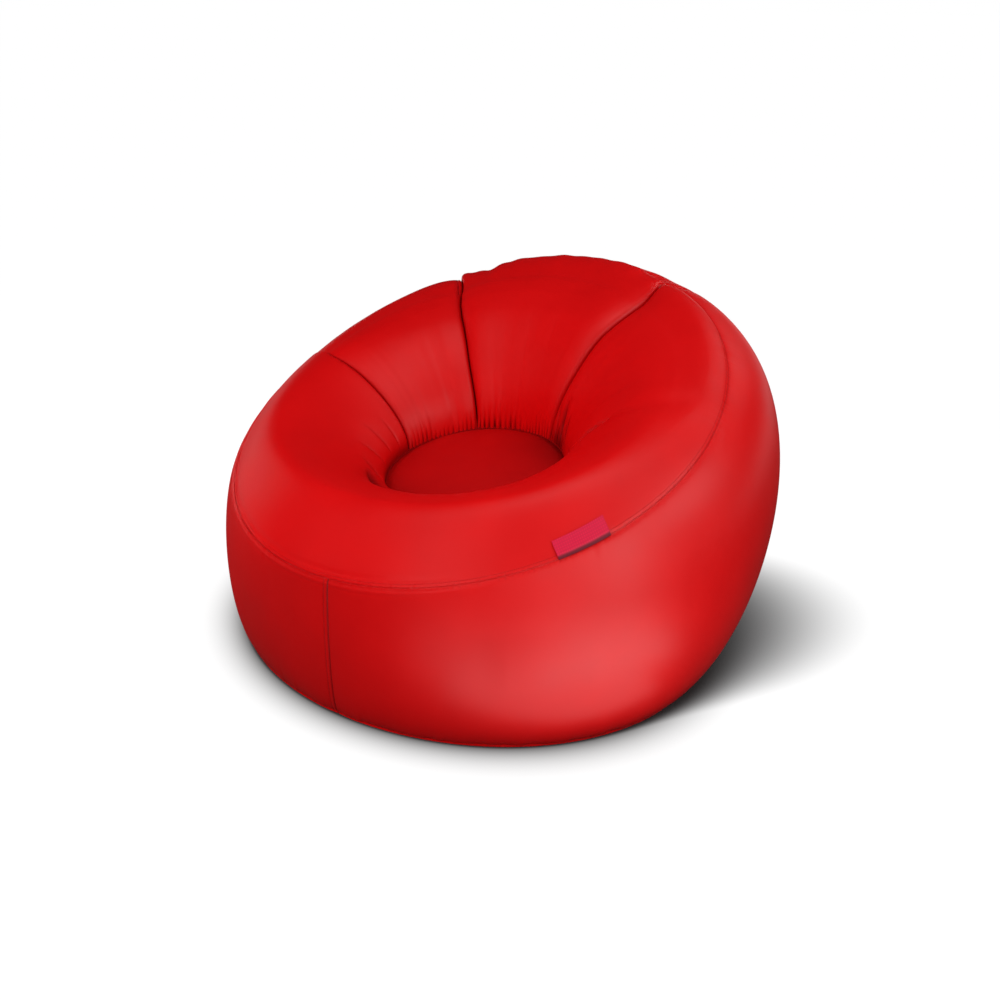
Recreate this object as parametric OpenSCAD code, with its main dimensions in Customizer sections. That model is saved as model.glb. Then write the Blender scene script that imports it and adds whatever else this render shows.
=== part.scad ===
// Air-filled lounge chair: a fat ring that rises at the back round a sunken seat,
// sewn from thin nylon panels over film air cells, closed by a rolled filling neck
// whose ends meet in a side-release buckle behind the back.
// Frame: base on z = 0, seat faces -Y, back is +Y, millimetres.
// Angles round the chair start at the back centre and run towards +X.

/* [Base and side wall] */
// Half width of the base
base_half_x = 520; // [460:5:540]
// Half depth of the base
base_half_y = 440; // [410:5:480]
// Lean of the wall where it leaves the base, at the front
foot_flare_front = 42; // [15:1:50]
// Lean of the wall where it leaves the base, at the back
foot_flare_back = 55; // [35:1:62]
// Lean of the wall just under the rim, at the front
shoulder_flare_front = 2; // [-15:1:15]
// Lean of the wall just under the rim, at the back
shoulder_flare_back = 80; // [60:1:84]
// Pull of the foot lean at the front, share of the rim height
foot_reach_front = 0.15; // [0.10:0.01:0.30]
// Pull of the foot lean at the back, share of the rim height
foot_reach_back = 0.37; // [0.15:0.01:0.45]
// Pull of the shoulder lean at the front, share of the rim height
shoulder_reach_front = 0.16; // [0.10:0.01:0.40]
// Pull of the shoulder lean at the back, share of the rim height
shoulder_reach_back = 0.42; // [0.20:0.01:0.50]
// How soon the wall changes from its front shape to its back shape
wall_blend = 0.6; // [0.4:0.05:1.5]

/* [Rim seam] */
// Half width of the rim seam
rim_half_x = 509; // [480:1:530]
// Half depth of the rim seam
rim_half_y = 498; // [460:2:520]
// Middle of the rim seam, from the origin
rim_y = 30; // [10:5:50]
// Height of the rim seam over the origin
rim_z = 481; // [450:1:520]
// Climb of the rim towards the back
rim_rise = 0.38; // [0.20:0.01:0.45]
// Climb of the rim towards +X, where the soft ring settles a little to one side
rim_lean = 0.04; // [0:0.005:0.05]
// How far the front and back of the rim lift over its sides
rim_saddle = 22; // [0:2:40]

/* [Ring top and bucket] */
// Half width of the crown line, where the ring is highest
crown_half_x = 400; // [370:5:430]
// Half depth of the crown line
crown_half_y = 360; // [330:5:385]
// Middle of the crown line, from the origin
crown_y = 4; // [-20:2:25]
// Height of the crown over the plane of the rim
crown_lift = 55; // [40:1:80]
// How much less the crown climbs to the back than the rim does
crown_sink = 0.08; // [0:0.01:0.15]
// Share of the rim's saddle that the crown keeps
crown_saddle = 0.6; // [0.2:0.1:1]
// Lean of the ring top just inside the rim, front, from upright
rise_front = 40; // [35:1:60]
// Lean of the ring top just inside the rim, back, from upright
rise_back = 54; // [45:1:70]
// Pull of that lean, share of the way to the crown
rise_reach = 0.42; // [0.30:0.01:0.55]
// Length of the flat crown on its outer side, share of the way to the rim
crown_flat_out = 0.32; // [0.20:0.02:0.50]
// Length of the flat crown on its inner side at the front, share of the way to the seat
crown_flat_front = 0.30; // [0.15:0.01:0.45]
// Length of the flat crown on its inner side at the back, share of the way to the seat
crown_flat_back = 0.25; // [0.15:0.01:0.45]
// How upright the bucket meets the seat, share of its depth
bucket_steepness = 0.46; // [0.25:0.01:0.60]
// Bearings of the four bucket seams: left side, left back, right back, right side
seam_bearings = [275, 324, 388, 442];
// Depth of the tuck along each back seam
seam_tuck = 16; // [0:1:24]
// Share of that depth on the two side seams
side_tuck_share = 0.6; // [0:0.1:1]
// Half width of a tuck, degrees round the chair
tuck_spread = 6; // [4:1:12]

/* [Seat] */
// Half width of the seat panel
seat_half_x = 190; // [150:5:210]
// Half depth of the seat panel
seat_half_y = 189; // [150:1:210]
// Middle of the seat, from the origin
seat_y = 30; // [10:5:50]
// Height of the seat seam
seat_z = 345; // [300:5:360]
// Climb of the seat towards the back
seat_rise = 0.15; // [0:0.01:0.20]
// How far the seat panel domes up in its middle
seat_dome = 14; // [4:1:30]

/* [Cloth and film] */
// Thickness of a sewn cloth panel with its seam allowance
cloth_t = 1.2; // [0.8:0.1:1.5]
// Thickness of the air cell film
film_t = 0.8; // [0.6:0.1:1.2]
// Free gap between the layers
layer_gap = 0.3; // [0.2:0.05:0.5]
// Gap between two panels at a seam
seam_gap = 0.3; // [0.2:0.05:0.6]

/* [Link duct between the air cells] */
// Lower edge of the duct
duct_low = 120; // [80:5:150]
// Upper edge of the duct
duct_high = 200; // [170:5:240]

/* [Label tab] */
// Width of the tab along the rim seam
tab_w = 112; // [70:2:140]
// Height of the tab above the rim seam
tab_h = 46; // [30:1:50]
// Thickness of the folded tab
tab_t = 1.6; // [1:0.1:2.5]
// Column of the cloth pattern that the tab is centred on
tab_column = 44; // [41:1:49]

/* [Rolled closure] */
// Radius of the rolled neck
roll_r = 17; // [13:0.5:20]
// Radius of the loop that the roll is bent to
loop_r = 70; // [62:1:80]
// Half opening of the loop, degrees
loop_open = 58; // [54:1:62]
// Drop of the filling neck from its seam to the roll
neck_drop = 30; // [20:1:40]
// How far the middle of the roll stands behind the lower edge of the neck's seam
roll_setback = 6; // [3:1:15]
// Radius of the plastic stiffener in the roll
stiffener_r = 5; // [3:0.5:7]
// Width of the neck where it meets the roll
neck_w = 118; // [90:2:124]
// Thickness of the flattened neck there
neck_t = 9; // [8:0.5:12]
// How far the neck stands out before it turns down, share of its drop
neck_reach = 0.34; // [0.20:0.02:0.44]
// How straight the neck comes down on the roll, share of its drop
neck_fall = 0.45; // [0.30:0.05:0.60]

/* [Buckle] */
// Width of the webbing
strap_w = 22; // [16:1:23]
// Thickness of one layer of webbing
strap_t = 1.6; // [1:0.1:2]
// Height of the buckle across the webbing
buckle_w = 34; // [32:1:38]
// Thickness of the buckle
buckle_t = 12; // [11:0.5:14]
// Wall of the socket
socket_wall = 4; // [3:0.5:4.5]
// Length of the socket shell
socket_l = 23.5; // [23:0.5:26]
// Radius of the bars that hold the webbing
bar_r = 2; // [1.5:0.1:2.2]
// Length of the cheeks that carry each bar
cheek_l = 8; // [7:0.5:10]
// Radius of the pins of the two latch arms
arm_pin_r = 1.2; // [1:0.1:1.4]
// Shift of the buckle to the socket side, which leaves room to draw the plug
buckle_shift = 6; // [5:0.5:9]
// Running clearance between moving pieces
running_gap = 0.3; // [0.2:0.05:0.4]

/* [Hidden] */

red = "#d8141a";
deep_red = "#b01018";
tab_red = "#c01f3c";
film_grey = "#dfe3e6";
webbing_black = "#1b1b1d";
plastic_black = "#26272a";

up = [0, 0, 1];

// Rows of the pattern, from the base up the wall, over the crown to the seat seam
wall_rows = [0, 0.10, 0.20, 0.29, 0.36, 0.43, 0.56, 0.70, 0.85, 1];
top_rows = [0.14, 0.34, 0.56, 0.78, 1, 1.2, 1.4, 1.6, 1.8, 2];
rim_row = len(wall_rows) - 1;
seat_row = rim_row + len(top_rows);
drum_foot_row = seat_row + 3;
mouth_row = 4;
duct_row = seat_row + 1;

// Columns of the pattern, from the front seam round by -X and back to it
function span(a, b, n) = [for (i = [0:n - 1]) a + (b - a) * i / n];
span_counts = [14, 7, 5, 4, 8, 14];
span_ends = [180, seam_bearings[0], seam_bearings[1], 360, seam_bearings[2], seam_bearings[3], 540];
columns = [for (s = [0:5]) each span(span_ends[s], span_ends[s + 1], span_counts[s])];
column_count = len(columns);
left_side_column = 14;
left_back_column = 21;
back_column = 26;
right_back_column = 30;
right_side_column = 38;

// ---- Small helpers ----
function mix(a, b, s) = a + (b - a) * s;
function unit(v) = v / norm(v);
function flat(v) = [v[0], v[1], 0];
function wrapped(i, n) = (i % n + n) % n;
function bezier(p, t) =
    pow(1 - t, 3) * p[0] + 3 * t * pow(1 - t, 2) * p[1] + 3 * t * t * (1 - t) * p[2] + pow(t, 3) * p[3];
function outward(a) = [sin(a), cos(a), 0];
function back_share(a) = (1 + cos(a)) / 2;

// ---- The four lines that the ring hangs on ----
function oval(a, half_x, half_y, y) = [half_x * sin(a), half_y * cos(a) + y, 0];
function saddle(a) = rim_saddle * (pow(cos(a), 2) - 0.5);
function base_line(a) = oval(a, base_half_x, base_half_y, 0);
function rim_line(a) =
    let (p = oval(a, rim_half_x, rim_half_y, rim_y))
    p + up * (rim_z + rim_lean * p[0] + rim_rise * p[1] + saddle(a));
function crown_line(a) =
    let (p = oval(a, crown_half_x, crown_half_y, crown_y))
    p + up * (rim_z + crown_lift + rim_lean * p[0] + (rim_rise - crown_sink) * p[1] + crown_saddle * saddle(a));
function seat_line(a) =
    let (p = oval(a, seat_half_x, seat_half_y, seat_y))
    p + up * (seat_z + rim_lean * p[0] + seat_rise * (p[1] - seat_y));

// ---- Surfaces between them ----
function wall_point(a, t) =
    let (s = back_share(a), q = pow(s, wall_blend), foot = base_line(a), rim = rim_line(a),
         foot_lean = mix(foot_flare_front, foot_flare_back, q),
         shoulder_lean = mix(shoulder_flare_front, shoulder_flare_back, q),
         foot_pull = rim[2] * mix(foot_reach_front, foot_reach_back, s),
         shoulder_pull = rim[2] * mix(shoulder_reach_front, shoulder_reach_back, s))
    bezier([foot,
            foot + foot_pull * (sin(foot_lean) * outward(a) + cos(foot_lean) * up),
            rim + shoulder_pull * (sin(shoulder_lean) * outward(a) - cos(shoulder_lean) * up),
            rim], t);
function ring_top_point(a, t) =
    let (rim = rim_line(a), crown = crown_line(a), inwards = unit(flat(crown - rim)),
         lean = mix(rise_front, rise_back, back_share(a)), reach = norm(crown - rim))
    bezier([rim,
            rim + rise_reach * reach * (sin(lean) * inwards + cos(lean) * up),
            crown - crown_flat_out * norm(flat(crown - rim)) * inwards,
            crown], t);
function bucket_point(a, t) =
    let (crown = crown_line(a), seat = seat_line(a), run = flat(seat - crown),
         level = mix(crown_flat_front, crown_flat_back, back_share(a)))
    bezier([crown, crown + level * run, seat + bucket_steepness * (crown[2] - seat[2]) * up, seat], t);
function smooth_top(a, t) = t <= 1 ? ring_top_point(a, t) : bucket_point(a, t - 1);

// The cloth is drawn in along the bucket seams, most of all at the crown
function tuck_near(a, bearing, share) = share * exp(-pow((a - bearing) / tuck_spread, 2));
function tuck_share(a) =
    tuck_near(a, seam_bearings[0], side_tuck_share) + tuck_near(a, seam_bearings[1], 1) +
    tuck_near(a, seam_bearings[2], 1) + tuck_near(a, seam_bearings[3], side_tuck_share);
function top_normal(a, t) =
    unit(cross(smooth_top(a + 1, t) - smooth_top(a - 1, t), smooth_top(a, t + 0.02) - smooth_top(a, t - 0.02)));
function top_point(a, t) =
    t == 2 ? seat_line(a) : smooth_top(a, t) + seam_tuck * tuck_share(a) * sin(90 * t) * top_normal(a, t);

// One closed slice through the ring: wall, top, bucket, tether and base
function slice(a) =
    let (seat = seat_line(a), foot = base_line(a))
    concat([for (t = wall_rows) wall_point(a, t)],
           [for (t = top_rows) top_point(a, t)],
           [for (z = [duct_high, duct_low, cloth_t + layer_gap, 0]) flat(seat) + z * up],
           [flat(seat + foot) / 2]);
ring = [for (a = columns) slice(a)];

// ---- Layers: a grid of points moved inwards by d, mitred where it bends ----
function strip_normal(grid, i, k, k_next) =
    let (n = len(grid), before = grid[wrapped(i - 1, n)], after = grid[wrapped(i + 1, n)])
    unit(cross(after[k] + after[k_next] - before[k] - before[k_next], grid[i][k_next] - grid[i][k]));
function mitre(n1, n2) = (n1 + n2) / (1 + n1 * n2);
function layer(grid, d, closed) =
    let (n = len(grid), m = len(grid[0]))
    [for (i = [0:n - 1]) [for (k = [0:m - 1])
        let (low = closed ? wrapped(k - 1, m) : max(k - 1, 0), high = closed ? wrapped(k + 1, m) : min(k + 1, m - 1),
             n1 = low == k ? strip_normal(grid, i, k, high) : strip_normal(grid, i, low, k),
             n2 = high == k ? n1 : strip_normal(grid, i, k, high))
        grid[i][k] + d * mitre(n1, n2)]];
cloth_in = layer(ring, cloth_t, true);
film_out = layer(ring, cloth_t + layer_gap, true);
film_in = layer(ring, cloth_t + layer_gap + film_t, true);

// A patch of a layer; edges = [first column, last column, first row, last row], 1 where a seam gap is left
function nudge(grid, i, k, di, dk) =
    let (n = len(grid), p = grid[wrapped(i, n)][k])
    p + (di == 0 ? [0, 0, 0] : seam_gap / 2 * unit(grid[wrapped(i + di, n)][k] - p))
      + (dk == 0 ? [0, 0, 0] : seam_gap / 2 * unit(grid[wrapped(i, n)][k + dk] - p));
function patch(grid, i0, i1, k0, k1, edges) =
    [for (i = [i0:i1]) [for (k = [k0:k1])
        nudge(grid, i, k, i == i0 ? edges[0] : i == i1 ? -edges[1] : 0, k == k0 ? edges[2] : k == k1 ? -edges[3] : 0)]];

// ---- A sheet with two faces, closed along every open edge ----
// round_u and round_v join the last column or row to the first, poles = [first row, last row] are single
// points, and a hole is [first column, last column, first row, last row] of cells left out
function in_hole(i, k, holes) = len([for (h = holes) if (i >= h[0] && i < h[1] && k >= h[2] && k < h[3]) 1]) > 0;
module sheet(outer, inner, round_u = false, round_v = false, poles = [false, false], holes = []) {
    n = len(outer);
    m = len(outer[0]);
    cells_u = round_u ? n : n - 1;
    cells_v = round_v ? m : m - 1;
    function id(i, k) =
        let (row = wrapped(k, m), pole = (poles[0] && row == 0) || (poles[1] && row == m - 1))
        (pole ? 0 : wrapped(i, n)) * m + row;
    function present(i, k) =
        let (u = round_u ? wrapped(i, n) : i, v = round_v ? wrapped(k, m) : k)
        u >= 0 && u < cells_u && v >= 0 && v < cells_v && !in_hole(u, v, holes);
    function side(a, b) = [[b, a, a + n * m], [b, a + n * m, b + n * m]];
    function faces_of(i, k) =
        let (p = id(i, k), q = id(i + 1, k), r = id(i + 1, k + 1), s = id(i, k + 1), o = n * m)
        concat([[p, q, r], [p, r, s], [r + o, q + o, p + o], [s + o, r + o, p + o]],
               present(i, k - 1) ? [] : side(p, q), present(i + 1, k) ? [] : side(q, r),
               present(i, k + 1) ? [] : side(r, s), present(i - 1, k) ? [] : side(s, p));
    faces = [for (i = [0:cells_u - 1]) for (k = [0:cells_v - 1]) if (present(i, k))
        for (f = faces_of(i, k)) if (f[0] != f[1] && f[1] != f[2] && f[2] != f[0]) f];
    polyhedron(points = concat([for (c = outer) each c], [for (c = inner) each c]), faces = faces);
}
module cloth_patch(i0, i1, k0, k1, edges, holes = []) {
    sheet(patch(ring, i0, i1, k0, k1, edges), patch(cloth_in, i0, i1, k0, k1, edges), holes = holes);
}

// ---- Shell panels ----
base_inset = 1;
module base_panel() {
    color(deep_red) linear_extrude(cloth_t)
        polygon([for (a = columns) let (p = base_line(a), q = p - base_inset * outward(a)) [q[0], q[1]]]);
}
module wall_panel_left() {
    color(red) cloth_patch(0, back_column, 0, rim_row, [1, 1, 0, 1],
                           [[back_column - 1, back_column, mouth_row, mouth_row + 1]]);
}
module wall_panel_right() {
    color(red) cloth_patch(back_column, column_count, 0, rim_row, [1, 1, 0, 1],
                           [[0, 1, mouth_row, mouth_row + 1]]);
}
module top_front_panel() {
    color(red) cloth_patch(right_side_column, column_count + left_side_column, rim_row, seat_row, [1, 1, 1, 1]);
}
module back_left_panel() {
    color(red) cloth_patch(left_side_column, left_back_column, rim_row, seat_row, [1, 1, 1, 1]);
}
module back_centre_panel() {
    color(red) cloth_patch(left_back_column, right_back_column, rim_row, seat_row, [1, 1, 1, 1]);
}
module back_right_panel() {
    color(red) cloth_patch(right_back_column, right_side_column, rim_row, seat_row, [1, 1, 1, 1]);
}

// ---- Seat ----
seat_rings = [0, 0.4, 0.75, 1];
seat_centre = [0, seat_y, 0];
function drawn_in(p, d) = p - d * unit(flat(p) - seat_centre);
function seat_surface(a, f, inset, drop) =
    let (edge = drawn_in(seat_line(a), inset), middle = seat_centre + seat_z * up)
    mix(middle, edge, f) + (seat_dome * (1 - f * f) - drop) * up;
function seat_sheet(inset, drop) = [for (a = columns) [for (f = seat_rings) seat_surface(a, f, inset, drop)]];
module seat_panel() {
    color(deep_red) sheet(seat_sheet(seam_gap, cloth_t), seat_sheet(seam_gap, 0), round_u = true, poles = [true, false]);
}
module seat_tether() {
    color(deep_red)
        sheet(patch(ring, 0, column_count - 1, seat_row, drum_foot_row, [0, 0, 1, 0]),
              patch(cloth_in, 0, column_count - 1, seat_row, drum_foot_row, [0, 0, 1, 0]),
              round_u = true, holes = [[back_column - 1, back_column + 1, 1, 2]]);
}

// ---- Air cells ----
module ring_air_cell() {
    color(film_grey)
        sheet(film_out, film_in, round_u = true, round_v = true,
              holes = [[back_column - 1, back_column + 1, mouth_row, mouth_row + 1],
                       [back_column - 1, back_column + 1, duct_row, duct_row + 1]]);
}
function seat_cell(extra) =
    let (inset = layer_gap + extra, drop = cloth_t + layer_gap + extra)
    [for (a = columns)
        let (edge = drawn_in(seat_line(a), inset), foot = flat(edge))
        concat([seat_centre + drop * up],
               [for (z = [drop, duct_low, duct_high]) foot + z * up],
               [for (f = [1, 0.75, 0.4, 0]) seat_surface(a, f, inset, drop)])];
module seat_air_cell() {
    color(film_grey) sheet(seat_cell(0), seat_cell(film_t), round_u = true, poles = [true, true],
                           holes = [[back_column - 1, back_column + 1, 2, 3]]);
}

// Short film sleeve that joins the two air cells through the tether
duct_margin = 1;
duct_reach = 5;
function duct_rim(y_shift, inset) =
    let (p = ring[back_column - 1][duct_row], q = ring[back_column + 1][duct_row], w = (q[0] - p[0]) / 2 - inset,
         y = p[1] + y_shift, low = duct_low + inset, high = duct_high - inset)
    [[-w, y, low], [0, y, low], [w, y, low], [w, y, (low + high) / 2],
     [w, y, high], [0, y, high], [-w, y, high], [-w, y, (low + high) / 2]];
function duct_sleeve(inset) =
    let (inner = duct_rim(-duct_reach, inset), outer = duct_rim(duct_reach, inset))
    [for (i = [0:len(inner) - 1]) [inner[i], outer[i]]];
module link_duct() {
    color(film_grey) sheet(duct_sleeve(duct_margin), duct_sleeve(duct_margin + film_t), round_u = true);
}

// ---- Filling neck ----
mouth_corners = [[-1, 0], [0, 0], [1, 0], [1, 1], [0, 1], [-1, 1]];
function mouth_point(c) = ring[back_column + c[0]][mouth_row + c[1]];
mouth_centre = (mouth_point([0, 0]) + mouth_point([0, 1])) / 2;
loop_centre = [0, mouth_point([0, 0])[1] + roll_setback, mouth_point([0, 0])[2] - neck_drop - loop_r - roll_r];
mouth_normal = -strip_normal(ring, back_column, mouth_row, mouth_row + 1);
function round_trip(corners, steps) =
    [for (i = [0:len(corners) - 1]) for (j = [0:steps - 1]) mix(corners[i], corners[(i + 1) % len(corners)], j / steps)];
neck_steps = 4;
mouth_loop = round_trip([for (c = mouth_corners) mouth_point(c)], neck_steps);
slot_loop = round_trip([for (c = mouth_corners) [c[0], 2 * c[1] - 1]], neck_steps);
slot_lift = 1.8;
function on_roll(x) = sqrt(pow(loop_r + roll_r, 2) - x * x);
function slot_point(s) =
    let (x = s[0] * neck_w / 2)
    loop_centre + [x, s[1] * neck_t / 2, on_roll(x) + slot_lift];
function neck_line(i) =
    let (edge = mouth_loop[i], clear = edge + seam_gap * unit(mouth_centre - edge),
         end = slot_point(slot_loop[i]), drop = clear[2] - end[2])
    [for (t = [0, 0.2, 0.45, 0.7, 1])
        bezier([clear, clear + neck_reach * drop * mouth_normal, end + neck_fall * drop * up, end], t)];
neck_out = [for (i = [0:len(mouth_loop) - 1]) neck_line(i)];
module filling_neck() {
    color(red) sheet(neck_out, layer(neck_out, cloth_t, false), round_u = true);
}
module neck_liner() {
    color(film_grey) sheet(layer(neck_out, cloth_t + layer_gap, false),
                           layer(neck_out, cloth_t + layer_gap + film_t, false), round_u = true);
}

// The neck is rolled on a springy stiffener and bent to a loop, open at the bottom
module bent_bar(r_out, r_in, trim) {
    translate(loop_centre) rotate([90, 0, 0]) rotate([0, 0, loop_open - 90 + trim])
        rotate_extrude(angle = 360 - 2 * loop_open - 2 * trim, $fn = 96)
            translate([loop_r, 0]) difference() {
                circle(r = r_out, $fn = 48);
                if (r_in > 0) circle(r = r_in, $fn = 32);
            }
}
module neck_roll() {
    color(red) bent_bar(roll_r, stiffener_r + layer_gap, 0);
}
module roll_stiffener() {
    color(plastic_black) bent_bar(stiffener_r, 0, 1);
}

// ---- Label tab, sewn along its lower edge at the rim seam ----
tab_base = ring[wrapped(tab_column, column_count)][rim_row + 1];
tab_along = unit(ring[wrapped(tab_column + 1, column_count)][rim_row + 1]
                 - ring[wrapped(tab_column - 1, column_count)][rim_row + 1]);
tab_slope = unit(ring[wrapped(tab_column, column_count)][rim_row + 2]
                 - ring[wrapped(tab_column, column_count)][rim_row]);
tab_out = -unit(cross(tab_along, tab_slope));
tab_up = cross(tab_along, tab_out) * (cross(tab_along, tab_out)[2] > 0 ? 1 : -1);
tab_clear = 0.5;
module label_tab() {
    frame = [[tab_along[0], tab_up[0], tab_out[0], tab_base[0]], [tab_along[1], tab_up[1], tab_out[1], tab_base[1]],
             [tab_along[2], tab_up[2], tab_out[2], tab_base[2]], [0, 0, 0, 1]];
    color(tab_red) multmatrix(frame) translate([-tab_w / 2, -tab_h / 2, tab_clear]) cube([tab_w, tab_h, tab_t]);
}

// ---- Webbing: a double strap from each end of the roll round a buckle bar ----
loop_end_x = loop_r * sin(loop_open);
loop_end_z = -loop_r * cos(loop_open);
shoulder_l = 8;
bar_setback = 2.5;
plug_bar_x = -shoulder_l - cheek_l + bar_setback + 0.5;
socket_bar_x = socket_l + cheek_l - bar_setback;
buckle_mid = (plug_bar_x + socket_bar_x) / 2;
module at_buckle() {
    translate(loop_centre + [buckle_shift - buckle_mid, 0, loop_end_z]) children();
}
module webbing(bar_x, side) {
    reach = loop_end_x - side * (bar_x - buckle_mid + buckle_shift);
    eye_r = bar_r + running_gap;
    translate([0, 0, -strap_w / 2]) linear_extrude(strap_w) difference() {
        union() {
            translate([bar_x, 0]) circle(r = eye_r + strap_t, $fn = 32);
            translate([side > 0 ? bar_x : bar_x - reach - roll_r, -strap_t]) square([reach + roll_r, 2 * strap_t]);
        }
        translate([bar_x, 0]) circle(r = eye_r, $fn = 32);
    }
}
module past_roll_end(side) {
    translate(loop_centre + [side * loop_end_x, 0, loop_end_z]) rotate([0, -side * loop_open, 0])
        translate([side * (2 * roll_r - layer_gap), 0, 0]) cube([4 * roll_r, 4 * roll_r, 6 * roll_r], center = true);
}
module webbing_left() {
    color(webbing_black) difference() {
        at_buckle() webbing(plug_bar_x, -1);
        past_roll_end(-1);
    }
}
module webbing_right() {
    color(webbing_black) difference() {
        at_buckle() webbing(socket_bar_x, 1);
        past_roll_end(1);
    }
}

// ---- Side-release buckle; x = 0 is the mouth of the socket ----
cavity_w = buckle_w - 2 * socket_wall;
cavity_t = 7;
window_start = 9;
window_end = 21;
barb_start = window_start + 0.5;
barb_end = window_end - 0.7;
barb_rise = 3.6;
arm_pivot_x = -4;
arm_pivot_z = 9;
arm_t = 5.2;
arm_depth = 2.6;
arm_pin_half = 4.2;
pin_play = 0.08;
knuckle_r = 2.2;
pocket_out = knuckle_r + 1;
pocket_in = knuckle_r + 1.5;
cheek_t = 7;
bar_bite = 1.5;
strap_room = 0.8;
tongue_l = 6;
tongue_w = 7;
module bar(x, half_w) {
    translate([x, 0, -half_w]) cylinder(r = bar_r, h = 2 * half_w, $fn = 32);
}
module cheeks(x0, x1) {
    for (s = [-1, 1])
        translate([x0, -cheek_t / 2, s > 0 ? strap_w / 2 + strap_room : -buckle_w / 2])
            cube([x1 - x0, cheek_t, buckle_w / 2 - strap_w / 2 - strap_room]);
}
module buckle_socket() {
    color(plastic_black) at_buckle() union() {
        difference() {
            translate([0, -buckle_t / 2, -buckle_w / 2]) cube([socket_l, buckle_t, buckle_w]);
            translate([-1, -cavity_t / 2, -cavity_w / 2]) cube([window_end + 1, cavity_t, cavity_w]);
            translate([window_start, -cavity_t / 2, -buckle_w]) cube([window_end - window_start, cavity_t, 2 * buckle_w]);
        }
        cheeks(socket_l, socket_bar_x + bar_r);
        bar(socket_bar_x, strap_w / 2 + bar_bite);
    }
}
module buckle_plug() {
    color(plastic_black) at_buckle() union() {
        difference() {
            translate([-shoulder_l - running_gap, -buckle_t / 2, -buckle_w / 2]) cube([shoulder_l, buckle_t, buckle_w]);
            for (s = [-1, 1]) {
                translate([arm_pivot_x, 0, s * arm_pivot_z]) arm_pocket(s);
                translate([arm_pivot_x, 0, s * arm_pivot_z]) rotate([90, 0, 0])
                    cylinder(r = arm_pin_r + pin_play, h = 2 * (arm_pin_half + running_gap), center = true, $fn = 32);
            }
        }
        translate([-running_gap - 1, -arm_depth, -tongue_w / 2]) cube([tongue_l + 1, 2 * arm_depth, tongue_w]);
        cheeks(plug_bar_x - bar_r, -shoulder_l - running_gap);
        bar(plug_bar_x, strap_w / 2 + bar_bite);
    }
}
module arm_pocket(s) {
    rotate([90, 0, 0]) cylinder(r = knuckle_r + running_gap, h = 2 * (arm_depth + running_gap), center = true, $fn = 32);
    translate([0, -arm_depth - running_gap, s > 0 ? -pocket_in : -pocket_out])
        cube([shoulder_l, 2 * (arm_depth + running_gap), pocket_in + pocket_out]);
}
// An arm reaches into the socket; its barb stands in the side window and its back is a long ramp
module latch_arm(s) {
    inner = arm_pivot_z - knuckle_r;
    outer = cavity_w / 2 - running_gap;
    color(plastic_black) at_buckle() union() {
        rotate([90, 0, 0]) linear_extrude(2 * arm_depth, center = true)
            polygon([[arm_pivot_x, s * inner], [barb_end, s * (outer - arm_t / 2)], [barb_end, s * (outer + barb_rise)],
                     [barb_start, s * outer], [arm_pivot_x, s * (arm_pivot_z + knuckle_r)]]);
        translate([arm_pivot_x, 0, s * arm_pivot_z]) rotate([90, 0, 0])
            cylinder(r = knuckle_r, h = 2 * arm_depth, center = true, $fn = 32);
        translate([arm_pivot_x, 0, s * arm_pivot_z]) rotate([90, 0, 0])
            cylinder(r = arm_pin_r, h = 2 * arm_pin_half, center = true, $fn = 32);
    }
}
module latch_arm_upper() {
    latch_arm(1);
}
module latch_arm_lower() {
    latch_arm(-1);
}

base_panel();
wall_panel_left();
wall_panel_right();
top_front_panel();
back_left_panel();
back_centre_panel();
back_right_panel();
seat_panel();
seat_tether();
ring_air_cell();
seat_air_cell();
link_duct();
filling_neck();
neck_liner();
neck_roll();
roll_stiffener();
label_tab();
webbing_left();
webbing_right();
buckle_socket();
buckle_plug();
latch_arm_upper();
latch_arm_lower();
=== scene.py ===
"""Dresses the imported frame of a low, air-filled lounge chair: satin nylon shell, seams, tab and closure.

Lengths are in metres, bearings in degrees from the back (+Y) towards +X. The shell's surfaces repeat the
part's own construction: four ovals (base, rim seam, crown, seat seam) with curved panels between them.
"""

import logging
import math
from collections.abc import Callable
from dataclasses import dataclass, field
from enum import Enum

import bpy
import numpy as np
from mathutils import Matrix, Vector


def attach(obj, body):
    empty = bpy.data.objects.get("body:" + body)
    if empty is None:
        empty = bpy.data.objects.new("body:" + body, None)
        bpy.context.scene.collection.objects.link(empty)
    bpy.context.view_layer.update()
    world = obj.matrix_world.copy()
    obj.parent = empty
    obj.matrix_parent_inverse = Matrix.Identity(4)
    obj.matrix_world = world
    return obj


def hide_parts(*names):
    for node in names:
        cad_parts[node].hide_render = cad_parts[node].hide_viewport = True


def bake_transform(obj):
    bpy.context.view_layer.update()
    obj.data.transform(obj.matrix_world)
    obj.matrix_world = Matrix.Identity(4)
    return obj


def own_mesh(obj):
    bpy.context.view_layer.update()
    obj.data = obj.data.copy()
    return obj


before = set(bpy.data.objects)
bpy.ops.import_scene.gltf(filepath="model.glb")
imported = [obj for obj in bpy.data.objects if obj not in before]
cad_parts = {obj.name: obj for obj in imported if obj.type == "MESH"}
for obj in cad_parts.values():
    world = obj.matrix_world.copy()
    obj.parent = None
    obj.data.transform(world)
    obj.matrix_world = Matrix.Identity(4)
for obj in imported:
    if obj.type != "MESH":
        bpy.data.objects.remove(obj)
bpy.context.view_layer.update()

LOG = logging.getLogger("chair")
MM = 0.001
EDGE_KEY = 10_000_000  # more than any mesh has points, so that two point numbers make one key
Surface = Callable[[np.ndarray, np.ndarray], np.ndarray]


# ---------------------------------------------------------------- small helpers
def mix(a: np.ndarray, b: np.ndarray, s: np.ndarray) -> np.ndarray:
    """Blends a into b by the share s."""
    return a + (b - a) * s


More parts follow.
